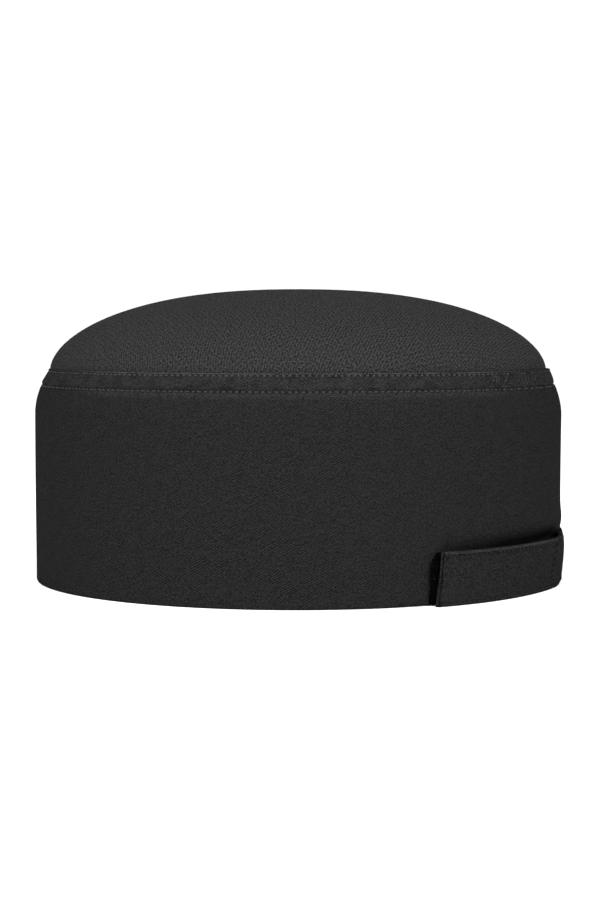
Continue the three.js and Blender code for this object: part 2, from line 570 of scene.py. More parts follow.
def new_material(name: str) -> Material:
    """Makes a node material without any nodes.

    Args:
        name: The material's name.

    Returns:
        The new material.
    """
    material = bpy.data.materials.new(name)
    material.use_nodes = True
    material.node_tree.nodes.clear()
    return material


@dataclass(frozen=True)
class WovenTwill:
    """Piece-dyed polyester and cotton twill, woven and pressed.

    The eye gets fine slanting ribs broken up by thick and thin yarns and tufts of fibre, on a dry matt
    black that turns a little silky where a lamp strikes it.

    Attributes:
        name: The material's name.
        shadow: The colour between two ribs.
        rib: The colour on top of a rib.
        lean: The way that the ribs rise.
        rib_pitch: From rib to rib. The real ribs lie 0.61 mm apart, under two pixels in the picture,
            so they are drawn coarser to show.
        rib_angle: How steeply the ribs rise, in degrees from the cloth's length.
        wander: How far the ribs wander from straight.
        patch: The size of the pressed cloth's uneven patches.
        fibre: The size of the tufts of fibre on the yarns.
        nep: The size of the coarser knots of fibre.
        slub: The length and the thickness of a thick place in a yarn.
        rib_weight: How much the ribs show against the knots of fibre.
        fibre_weight: How much the tufts show.
        slub_weight: How much the thick places show.
        mottle: How much the uneven patches show.
        contrast: How far the yarns' colours lie apart.
        colour_reach: How far from the middle of all these the colours end, at a contrast of 1.
        bump: How strong the relief of ribs and fibres is, and how high it stands.
        painted_highlight: The lighter colour painted as a highlight on a fold's lit edge.
        hole: The colour painted in a needle hole, as painted shade.
        roughness: How matt the fibres are.
        mirror: The specular level. Loose fibre ends scatter the mirror part of a smooth plastic.
        pressed: The weight of the thin resin finish that is pressed on the cloth.
        pressed_roughness: How matt that finish is.
    """

    name: str
    shadow: str
    rib: str
    lean: Lean = Lean.TO_THE_RIGHT
    rib_pitch: float = 0.74
    rib_angle: float = 29.0
    wander: float = 0.9
    patch: float = 4.0
    fibre: float = 0.5
    nep: float = 0.9
    slub: Pair = (22.0, 0.9)
    rib_weight: float = 0.42
    fibre_weight: float = 2.2
    slub_weight: float = 0.6
    mottle: float = 0.2
    contrast: float = 1.75
    colour_reach: float = 0.55
    bump: Pair = (0.6, 0.12)
    painted_highlight: str = "#3c3c3c"
    hole: str = "#020202"
    roughness: float = 0.8
    mirror: float = 0.0
    pressed: float = 0.01
    pressed_roughness: float = 0.3

    def make(self) -> Material:
        """Builds the material.

        Returns:
            The material.
        """
        material = new_material(self.name)
        tree = material.node_tree
        cloth = add_node(tree, "ShaderNodeUVMap", {"uv_map": CLOTH_MAP}).outputs["UV"]
        drift = add_node(
            tree, "ShaderNodeTexNoise", None, {"Vector": cloth, "Scale": 1 / self.patch, "Detail": 2.0}
        )
        wander = add_node(
            tree, "ShaderNodeVectorMath", {"operation": "MULTIPLY_ADD"},
            {0: drift.outputs["Color"], 1: (self.wander, self.wander, 0.0), 2: cloth},
        )
        turned = add_node(
            tree, "ShaderNodeVectorRotate", {"rotation_type": "Z_AXIS"},
            {"Vector": wander.outputs["Vector"], "Angle": -self.lean.value * np.radians(self.rib_angle)},
        )
        ribs = add_node(
            tree, "ShaderNodeTexWave", {"wave_type": "BANDS", "bands_direction": "Y"},
            {"Vector": turned.outputs["Vector"], "Scale": wave_scale(self.rib_pitch)},
        )
        speckle = add_node(
            tree, "ShaderNodeTexNoise", None,
            {"Vector": cloth, "Scale": 1 / self.fibre, "Detail": 3.0, "Roughness": 0.8},
        )
        slub_length, slub_thickness = self.slub
        stretched = add_node(
            tree, "ShaderNodeVectorMath", {"operation": "MULTIPLY"},
            {0: cloth, 1: (1 / slub_length, 1 / slub_thickness, 1.0)},
        )
        slubs = add_node(
            tree, "ShaderNodeTexNoise", None, {"Vector": stretched.outputs["Vector"], "Detail": 2.0}
        )
        neps = add_node(
            tree, "ShaderNodeTexNoise", None,
            {"Vector": cloth, "Scale": 1 / self.nep, "Detail": 2.0, "Roughness": 0.6},
        )
        weave = add_node(
            tree, "ShaderNodeMath", {"operation": "MULTIPLY_ADD"},
            {0: ribs.outputs["Fac"], 1: self.rib_weight, 2: neps.outputs["Fac"]},
        )
        grain = add_node(
            tree, "ShaderNodeMath", {"operation": "MULTIPLY_ADD"},
            {0: speckle.outputs["Fac"], 1: self.fibre_weight, 2: weave.outputs["Value"]},
        )
        total = add_node(
            tree, "ShaderNodeMath", {"operation": "MULTIPLY_ADD"},
            {0: slubs.outputs["Fac"], 1: self.slub_weight, 2: grain.outputs["Value"]},
        )
        uneven = add_node(
            tree, "ShaderNodeMath", {"operation": "MULTIPLY_ADD"},
            {0: drift.outputs["Fac"], 1: self.mottle, 2: total.outputs["Value"]},
        )
        # Each pattern averages a half, so their middle is half the sum of their weights
        middle = (1.0 + self.rib_weight + self.fibre_weight + self.slub_weight + self.mottle) / 2
        reach = self.colour_reach / self.contrast
        share = add_node(
            tree, "ShaderNodeMapRange", None,
            {"Value": uneven.outputs["Value"], "From Min": middle - reach, "From Max": middle + reach},
        )
        colour = add_node(
            tree, "ShaderNodeMix", {"data_type": "RGBA"},
            {"Factor": share.outputs["Result"], MIX_A: linear(self.shadow), MIX_B: linear(self.rib)},
        )
        # Painted highlight: where the mesh marks a lit fold edge or roll, the colour is mixed towards a
        # lighter one, more on the ribs' tops
        edge = add_node(tree, "ShaderNodeAttribute", {"attribute_name": PAINTED_HIGHLIGHT})
        highlight_amount = add_node(
            tree, "ShaderNodeMath", {"operation": "MULTIPLY"},
            {0: edge.outputs["Fac"], 1: share.outputs["Result"]},
        )
        painted_highlight = add_node(
            tree, "ShaderNodeMix", {"data_type": "RGBA"},
            {"Factor": highlight_amount.outputs["Value"], MIX_A: colour.outputs[MIXED], MIX_B: linear(self.painted_highlight)},
        )
        # Painted shade: where the mesh marks a needle hole, the colour is mixed towards near black
        depth = add_node(tree, "ShaderNodeAttribute", {"attribute_name": PAINTED_SHADE})
        hole_shaded = add_node(
            tree, "ShaderNodeMix", {"data_type": "RGBA"},
            {"Factor": depth.outputs["Fac"], MIX_A: painted_highlight.outputs[MIXED], MIX_B: linear(self.hole)},
        )
        strength, height = self.bump
        relief = add_node(
            tree, "ShaderNodeBump", None,
            {"Height": grain.outputs["Value"], "Strength": strength, "Distance": height * METRES},
        )
        shader = add_node(
            tree, "ShaderNodeBsdfPrincipled", None,
            {
                "Base Color": hole_shaded.outputs[MIXED],
                "Roughness": self.roughness,
                "IOR": 1.5,
                "Specular IOR Level": self.mirror,
                "Coat Weight": self.pressed,
                "Coat Roughness": self.pressed_roughness,
                "Normal": relief.outputs["Normal"],
                "Coat Normal": relief.outputs["Normal"],
            },
        )
        add_node(tree, "ShaderNodeOutputMaterial", None, {"Surface": shader.outputs["BSDF"]})
        return material


@dataclass(frozen=True)
class KnittedMesh:
    """Warp-knitted polyester mesh, heat-set.

    The eye gets soft loops between the holes, lit a little more than the twill, steep lines where the
    loops stand in rows, and shade where it looks down between the yarns.

    Attributes:
        name: The material's name.
        hole: The near black painted deep between the yarns, as painted shade.
        shadow: The colour between two loops.
        loop: The colour on top of a loop.
        row_pitch: From one row of loops to the next.
        row_angle: How steeply the rows rise, in degrees.
        row_weight: How much the rows show against the yarn's bright and dull bits.
        fibre: The size of those bits.
        colour_ends: Where on their sum the shadow's colour ends and the loop's is reached.
        bump: How strong the relief of the yarn is, and how high it stands.
        roughness: How matt the yarn is.
        mirror: The specular level, held down by the yarn's loose filaments.
        glaze: The weight of the shine that heat-setting leaves.
        glaze_roughness: How matt that shine is.
    """

    name: str
    hole: str
    shadow: str
    loop: str
    row_pitch: float = 1.06
    row_angle: float = 72.4
    row_weight: float = 0.08
    fibre: float = 0.65
    colour_ends: Pair = (0.455, 0.625)
    bump: Pair = (0.8, 0.16)
    roughness: float = 0.8
    mirror: float = 0.0
    glaze: float = 0.03
    glaze_roughness: float = 0.5

    def make(self) -> Material:
        """Builds the material.

        Returns:
            The material.
        """
        material = new_material(self.name)
        tree = material.node_tree
        cloth = add_node(tree, "ShaderNodeUVMap", {"uv_map": CLOTH_MAP}).outputs["UV"]
        turned = add_node(
            tree, "ShaderNodeVectorRotate", {"rotation_type": "Z_AXIS"},
            {"Vector": cloth, "Angle": -np.radians(self.row_angle)},
        )
        rows = add_node(
            tree, "ShaderNodeTexWave", {"wave_type": "BANDS", "bands_direction": "Y"},
            {
                "Vector": turned.outputs["Vector"], "Scale": wave_scale(self.row_pitch),
                "Distortion": 1.2, "Detail": 1.0, "Detail Scale": 2.0,
            },
        )
        speckle = add_node(
            tree, "ShaderNodeTexNoise", None,
            {"Vector": cloth, "Scale": 1 / self.fibre, "Detail": 3.0, "Roughness": 0.85},
        )
        total = add_node(
            tree, "ShaderNodeMath", {"operation": "MULTIPLY_ADD"},
            {0: rows.outputs["Fac"], 1: self.row_weight, 2: speckle.outputs["Fac"]},
        )
        dark_end, light_end = self.colour_ends
        share = add_node(
            tree, "ShaderNodeMapRange", None,
            {"Value": total.outputs["Value"], "From Min": dark_end, "From Max": light_end},
        )
        yarn = add_node(
            tree, "ShaderNodeMix", {"data_type": "RGBA"},
            {"Factor": share.outputs["Result"], MIX_A: linear(self.shadow), MIX_B: linear(self.loop)},
        )
        # Painted shade: the hole floors, and in part the hole edges and the inner side, are mixed towards the
        # hole colour
        depth = add_node(tree, "ShaderNodeAttribute", {"attribute_name": PAINTED_SHADE})
        colour = add_node(
            tree, "ShaderNodeMix", {"data_type": "RGBA"},
            {"Factor": depth.outputs["Fac"], MIX_A: yarn.outputs[MIXED], MIX_B: linear(self.hole)},
        )
        strength, height = self.bump
        relief = add_node(
            tree, "ShaderNodeBump", None,
            {"Height": total.outputs["Value"], "Strength": strength, "Distance": height * METRES},
        )
        shader = add_node(
            tree, "ShaderNodeBsdfPrincipled", None,
            {
                "Base Color": colour.outputs[MIXED],
                "Roughness": self.roughness,
                "IOR": 1.5,
                "Specular IOR Level": self.mirror,
                "Coat Weight": self.glaze,
                "Coat Roughness": self.glaze_roughness,
                "Normal": relief.outputs["Normal"],
                "Coat Normal": relief.outputs["Normal"],
            },
        )
        add_node(tree, "ShaderNodeOutputMaterial", None, {"Surface": shader.outputs["BSDF"]})
        return material


@dataclass(frozen=True)
class SewingThread:
    """Spun polyester sewing thread, twisted and dyed.

    The eye gets a slightly brighter, smoother dash than the cloth around it, with a slanting twist.

    Attributes:
        name: The material's name.
        groove: The colour between the plies.
        ply: The colour on top of a ply.
        twist_pitch: From ply to ply along the thread.
        roughness: How matt the spun fibre is.
        mirror: The specular level, low because the fibres' ends scatter it.
    """

    name: str
    groove: str
    ply: str
    twist_pitch: float = 0.45
    roughness: float = 0.5
    mirror: float = 0.1

    def make(self) -> Material:
        """Builds the material.

        Returns:
            The material.
        """
        material = new_material(self.name)
        tree = material.node_tree
        cloth = add_node(tree, "ShaderNodeUVMap", {"uv_map": CLOTH_MAP}).outputs["UV"]
        plies = add_node(
            tree, "ShaderNodeTexWave", {"wave_type": "BANDS", "bands_direction": "DIAGONAL"},
            {"Vector": cloth, "Scale": wave_scale(self.twist_pitch)},
        )
        colour = add_node(
            tree, "ShaderNodeMix", {"data_type": "RGBA"},
            {"Factor": plies.outputs["Fac"], MIX_A: linear(self.groove), MIX_B: linear(self.ply)},
        )
        shader = add_node(
            tree, "ShaderNodeBsdfPrincipled", None,
            {
                "Base Color": colour.outputs[MIXED],
                "Roughness": self.roughness,
                "IOR": 1.5,
                "Specular IOR Level": self.mirror,
            },
        )
        add_node(tree, "ShaderNodeOutputMaterial", None, {"Surface": shader.outputs["BSDF"]})
        return material


@dataclass(frozen=True)
class NappedTape:
    """Knitted polyamide touch tape: a napped loop side, or a hook side of cut bristles.

    The eye gets the deepest black on the cap, because light goes in between the loops, with a few
    bright specks where a loop stands up.

    Attributes:
        name: The material's name.
        depth: The colour in the pile.
        tip: The colour of a loop's tip.
        tuft: The size of a tuft.
        roughness: How matt the yarn is.
        mirror: The specular level. The pile swallows the yarn's own shine.
        standing: Where on the tufts' noise a loop starts to stand up, and where it stands.
        bump: How strong the relief of the pile is, and how high it stands.
    """

    name: str
    depth: str
    tip: str
    tuft: float
    roughness: float
    mirror: float = 0.0
    standing: Pair = (0.58, 0.8)
    bump: Pair = (0.9, 0.4)

    def make(self) -> Material:
        """Builds the material.

        Returns:
            The material.
        """
        material = new_material(self.name)
        tree = material.node_tree
        cloth = add_node(tree, "ShaderNodeUVMap", {"uv_map": CLOTH_MAP}).outputs["UV"]
        tufts = add_node(
            tree, "ShaderNodeTexNoise", None,
            {"Vector": cloth, "Scale": 1 / self.tuft, "Detail": 3.0, "Roughness": 0.7},
        )
        rising, risen = self.standing
        share = add_node(
            tree, "ShaderNodeMapRange", None,
            {"Value": tufts.outputs["Fac"], "From Min": rising, "From Max": risen},
        )
        colour = add_node(
            tree, "ShaderNodeMix", {"data_type": "RGBA"},
            {"Factor": share.outputs["Result"], MIX_A: linear(self.depth), MIX_B: linear(self.tip)},
        )
        strength, height = self.bump
        relief = add_node(
            tree, "ShaderNodeBump", None,
            {"Height": tufts.outputs["Fac"], "Strength": strength, "Distance": height * METRES},
        )
        shader = add_node(
            tree, "ShaderNodeBsdfPrincipled", None,
            {
                "Base Color": colour.outputs[MIXED],
                "Roughness": self.roughness,
                "IOR": 1.53,
                "Specular IOR Level": self.mirror,
                "Normal": relief.outputs["Normal"],
            },
        )
        add_node(tree, "ShaderNodeOutputMaterial", None, {"Surface": shader.outputs["BSDF"]})
        return material


@dataclass(frozen=True)
class Stitches:
    """A row of lockstitches: short raised dashes of thread that dive into the cloth at both ends.

    Attributes:
        bare: The cloth that shows between two stitches.
        radius: The thread's radius.
        dive: How far a stitch's ends lie under the cloth.
        crest: How far its middle stands proud.
        swell: How soon a stitch rises to its crest. The less, the sooner.
        end_girth: How thick its two ends are, as a share of the rest.
        rings: Sections along a stitch.
        sides: Sides of a section.
        path_points: Points that a row's path has for each stitch.
    """

    bare: float = 0.9
    radius: float = 0.2
    dive: float = 0.2
    crest: float = 0.1
    swell: float = 0.6
    end_girth: float = 0.45
    rings: int = 6
    sides: int = 6
    path_points: int = 6

    def add_row(self, mesh: ClothMesh, path: Array, out: Array, count: int) -> None:
        """Adds a row of stitches to a mesh.

        Args:
            mesh: The mesh that takes the thread.
            path: Points along the row, on the cloth.
            out: The direction out of the cloth at each point.
            count: How many stitches the row has.
        """
        lengths = lengths_along(path)
        step = lengths[-1] / count
        share = np.linspace(0.0, 1.0, self.rings)
        places = np.arange(count)[:, None] * step + self.bare / 2 + share[None] * (step - self.bare)
        spots = np.stack([np.interp(places, lengths, path[:, axis]) for axis in range(3)], axis=-1)
        up = unit(np.stack([np.interp(places, lengths, out[:, axis]) for axis in range(3)], axis=-1))
        along = unit(np.gradient(spots, axis=1))
        across = np.cross(up, along)
        height = -self.dive + (self.dive + self.crest) * np.sin(share * np.pi) ** self.swell
        centres = spots + up * height[None, :, None]
        turn = np.arange(self.sides) * 2 * np.pi / self.sides
        thickness = np.where((share == 0) | (share == 1), self.end_girth, 1.0)
        girth = self.radius * thickness[None, :, None, None]
        shell = across[:, :, None] * np.cos(turn)[None, None, :, None]
        shell = shell + up[:, :, None] * np.sin(turn)[None, None, :, None]
        points = centres[:, :, None] + girth * shell
        around = np.linspace(0.0, 2 * np.pi * self.radius, self.sides + 1)
        for stitch in range(count):
            cloth = np.stack(np.meshgrid(places[stitch], around, indexing="ij"), axis=-1)
            mesh.add_grid(points[stitch], cloth, (False, True))


@dataclass(frozen=True)
class SewnRow:
    """A row of stitches all round the cap, and what it does to the cloth.

    Attributes:
        height: The height of the row.
        sink: How deep the row draws the cloth in between its holes.
        hole_depth: How much deeper a needle hole draws it in.
        dent_reach: How far up and down from the row the cloth has come back.
        hole_shade: How dark a needle hole is painted, as painted shade.
        hole_reach: How far up and down from the row that darkness reaches.
        count: How many stitches the row has.
        columns: Columns of the cloth's mesh in each stitch.
        stitches: The stitches.
    """

    height: float
    sink: float
    hole_depth: float
    dent_reach: float
    hole_shade: float
    hole_reach: float
    count: int = 258
    columns: int = 3
    stitches: Stitches = Stitches()

    def cloth_angles(self, form: CapForm) -> Array:
        """The angles of the cloth's columns, all round."""
        return form.even_angles(self.count * self.columns)

    def dents(self, form: CapForm, angle: Array, height: Array) -> Array:
        """How deep the row draws the cloth in.

        Args:
            form: The cap's form.
            angle: Degrees from the back seam.
            height: Height of the cloth.

        Returns:
            The depth for each angle and height.
        """
        hole = form.needle_holes(angle, self.count)
        return (self.sink + self.hole_depth * hole) * bell(height, self.height, self.dent_reach)

    def holes(self, form: CapForm, angle: Array, height: Array) -> Array:
        """The shade painted into the cloth at the needle holes.

        Args:
            form: The cap's form.
            angle: Degrees from the back seam.
            height: Height of the cloth.

        Returns:
            From 0 to 1 for each place.
        """
        near = form.needle_holes(angle, self.count) * bell(height, self.height, self.hole_reach)
        return self.hole_shade * near

    def thread_places(self, form: CapForm) -> tuple[Array, Array]:
        """The angles and the heights of the points that the row's thread is laid along."""
        angles = form.even_angles(self.count * self.stitches.path_points)
        return angles, np.full_like(angles, self.height)

    def sew(self, piece: tuple[str, Material, Slot], path: Array, out: Array) -> None:
        """Makes the row's thread.

        Args:
            piece: The thread's name, its material and the record's slot.
            path: Points along the row, on the cloth.
            out: The direction out of the cloth at each point.
        """
        name, thread, slot = piece
        mesh = ClothMesh(name)
        self.stitches.add_row(mesh, path, out, self.count)
        finish_piece(mesh.build(), thread, slot)


@dataclass
class Band:
    """The doubled twill band: a loop of cloth folded at the hem and at its top edge.

    Attributes:
        form: The cap's form.
        finish: The twill.
        thread: The thread of its top row.
        row: The top row of stitches.
        wall: The thickness of the two layers.
        hem_radius: How round the hem's fold is.
        fold_radius: How round the top fold is.
        top: The height of the top fold.
        roll_highlight: How strong the highlight painted on the soft roll under the row is.
        roll_drop: How far below the row the roll's crest lies.
        roll_reach: How far up and down from there the painted highlight reaches.
        pucker: How deep the cloth puckers under the row.
        pucker_reach: How far down the puckers fade to a third.
        pucker_lean: How far they lean for each millimetre down, in degrees.
        pull: How much deeper they are where the tab pulls the cloth.
        pull_place: The middle and the reach of that place, in degrees.
        slack: How deep the band's broad waves are.
        slow_share: How deep the shorter waves are, as a share of the broad ones.
        slow_lean: How far the shorter waves lean over the whole height, in degrees.
        crease_depth: How far the tab draws the cloth in just above itself.
        crease_height: The height of that crease.
        crease_reach: How far above it the cloth has come back.
        crease_below: How far below it the cloth starts to go in.
        crease_angles: Where the crease rises and falls again round the band.
        tip_fade: How much of its depth it loses towards the tab's tip.
        tip_angles: Where it starts and ends to lose that.
        wrinkle: How proud the wrinkle at the crease's root stands.
        wrinkle_angle: Its middle and reach round the band, in degrees.
        wrinkle_height: Its middle and reach up the band.
        seat_depth: How far the tab's root presses the cloth in.
        seat_angles: Where that seat rises and falls again round the band.
        seat_heights: Where it rises and falls again up the band.
        seam_step: How far the back seam's upper edge stands proud.
        seam_angles: Where the lapped seam rises and falls again.
        fullness: How much fuller the band is at the back.
        full_place: The middle and the reach of the full part, in degrees.
        full_heights: Where it rises and falls again up the band.
        shoulder_rows: Rows of the mesh up to the shoulder.
        upper_rows: Rows from there to just under the fold.
        fold_rows: Rows in the last part under the fold.
        fold_part: The height of that part.
        inner_rows: Rows down the inside.
        broad_waves: The longest waves of the cloth.
        slow_waves: Shorter waves that lean as they rise.
        pucker_waves: The puckers under the row of stitches.
    """

    form: CapForm
    finish: Material
    thread: Material
    row: SewnRow = SewnRow(71.4, sink=0.1, hole_depth=0.4, dent_reach=0.5, hole_shade=0.8, hole_reach=0.4)
    wall: float = 2.0
    hem_radius: float = 0.7
    fold_radius: float = 0.35
    top: float = 71.9
    roll_highlight: float = 0.26
    roll_drop: float = 0.9
    roll_reach: float = 1.1
    pucker: float = 0.16
    pucker_reach: float = 3.2
    pucker_lean: float = 0.25
    pull: float = 1.4
    pull_place: Pair = (32.0, 22.0)
    slack: float = 0.1
    slow_share: float = 0.6
    slow_lean: float = 14.0
    crease_depth: float = 5.0
    crease_height: float = 15.4
    crease_reach: float = 4.4
    crease_below: float = 6.0
    crease_angles: Slopes = (9.0, 17.0, 50.0, 64.0)
    tip_fade: float = 0.5
    tip_angles: Pair = (38.0, 50.0)
    wrinkle: float = 0.5
    wrinkle_angle: Pair = (9.0, 2.6)
    wrinkle_height: Pair = (23.5, 4.0)
    seat_depth: float = 1.2
    seat_angles: Slopes = (-6.5, -4.0, 12.0, 19.0)
    seat_heights: Slopes = (4.0, 12.0, 16.5, 18.5)
    seam_step: float = 0.35
    seam_angles: Slopes = (3.6, 4.2, 7.5, 8.4)
    fullness: float = 0.4
    full_place: Pair = (-4.0, 28.0)
    full_heights: Slopes = (3.0, 14.0, 60.0, 71.0)
    shoulder_rows: int = 46
    upper_rows: int = 9
    fold_rows: int = 7
    fold_part: float = 1.6
    inner_rows: int = 14
    broad_waves: Ripples = Ripples(3, 9, 5, 11)
    slow_waves: Ripples = Ripples(5, 14, 6, 12)
    pucker_waves: Ripples = Ripples(70, 150, 9, 13)

    def relief(self, angle: Array, height: Array) -> Array:
        """How far the cloth lies under its plain form.

        Args:
            angle: Degrees from the back seam.
            height: Height up the band.

        Returns:
            The depth for each angle and height.
        """
        turn = signed(angle)
        share = height / self.top
        slow = self.slow_waves.at(angle + self.slow_lean * share)
        broad = self.broad_waves.at(angle) + self.slow_share * slow
        below_row = np.clip(self.row.height - height, 0.0, None)
        pull = 1.0 + self.pull * bell(turn, *self.pull_place)
        puckers = self.pucker_waves.at(angle + self.pucker_lean * below_row)
        puckers = pull * np.exp(-below_row / self.pucker_reach) * puckers
        full = self.fullness * bell(turn, *self.full_place) * plateau(height, *self.full_heights)
        seat = self.seat_depth * plateau(turn, *self.seat_angles) * plateau(height, *self.seat_heights)
        depth = self.slack * broad * np.sin(share * np.pi) + self.pucker * puckers - full + seat
        depth = depth + self.crease(turn, height) - self.seam(turn)
        return depth + self.row.dents(self.form, angle, height)

    def crease(self, turn: Array, height: Array) -> Array:
        """The depth of the crease that the tab's pull makes above itself.

        Args:
            turn: Signed degrees from the back seam.
            height: Height up the band.

        Returns:
            The depth for each angle and height.
        """
        around = plateau(turn, *self.crease_angles) * (1.0 - self.tip_fade * ease(turn, *self.tip_angles))
        above = bell(np.maximum(height, self.crease_height), self.crease_height, self.crease_reach)
        below = ease(height, self.crease_height - self.crease_below, self.crease_height)
        wrinkle = self.wrinkle * bell(turn, *self.wrinkle_angle) * bell(height, *self.wrinkle_height)
        return self.crease_depth * around * above * below - wrinkle

    def seam(self, turn: Array) -> Array:
        """How proud the lapped back seam stands at an angle."""
        return self.seam_step * plateau(-turn, *self.seam_angles)

    def section(self) -> tuple[Array, Array, Array]:
        """The band's section, up the outside, over the top fold, down the inside and under the hem.

        Returns:
            The depth, the height and the share of the outer face's relief of each row.
        """
        rim, shoulder = self.hem_radius, self.form.shoulder_start
        fold_top = self.top - self.fold_radius
        fold_start = fold_top - self.fold_part
        outer_heights = np.concatenate([
            np.linspace(rim, shoulder, self.shoulder_rows),
            np.linspace(shoulder, fold_start, self.upper_rows)[1:],
            np.linspace(fold_start, fold_top, self.fold_rows)[1:],
        ])
        fold_turns = np.radians([30, 60, 90, 120, 150, 180])
        inner_share, flat_share, bevel = 0.6, 0.3, 0.2
        outside = [(0.0, height, 1.0) for height in outer_heights]
        fold = [
            (self.fold_radius * (1 - np.cos(turn)), fold_top + self.fold_radius * np.sin(turn), 1.0)
            for turn in fold_turns
        ]
        ledge = [(2 * self.fold_radius, self.top - 0.8, 1.0), (self.wall, self.top - 0.9, flat_share)]
        inner_heights = np.linspace(self.top - 1.4, rim, self.inner_rows)
        inside = [(self.wall, height, inner_share) for height in inner_heights]
        hem = [
            (self.wall - bevel, bevel, inner_share), (self.wall - rim, 0.0, flat_share),
            (rim, 0.0, flat_share), (bevel, bevel, 1.0),
        ]
        table = np.array(outside + fold + ledge + inside + hem)
        return table[:, 0], table[:, 1], table[:, 2]

    def build(self) -> None:
        """Makes the band and its row of stitches."""
        form = self.form
        depth, height, share = (column[:, None] for column in self.section())
        closed_angles = self.row.cloth_angles(form)
        angle = closed_angles[None, :-1]
        sink = depth + share * self.relief(angle, height)
        points = form.band_face(angle, height, sink)
        outside = depth == 0
        # Painted highlight on the soft roll under the row, on the long sides, and painted shade at the needle
        # holes
        roll = bell(height, self.row.height - self.roll_drop, self.roll_reach) * form.sideways(angle)
        holes = self.row.holes(form, angle, height)
        marks = {PAINTED_SHADE: holes * outside, PAINTED_HIGHLIGHT: self.roll_highlight * roll * outside}
        mesh = ClothMesh("band_twill")
        mesh.add_swept(points, points[:, 0], -form.lengths(closed_angles), True, marks)
        finish_piece(mesh.build(), self.finish, Slot.TWILL, "band")
        self.sew()

    def sew(self) -> None:
        """Makes the stitches that hold the top edge to the strip."""
        form = self.form
        angles, height = self.row.thread_places(form)
        sink = self.relief(angles, height) - self.row.dents(form, angles, height) + form.thread_sink(angles)
        path = form.band_face(angles, height, sink)
        self.row.sew(("band_stitches", self.thread, Slot.TWILL), path, form.outward(angles))


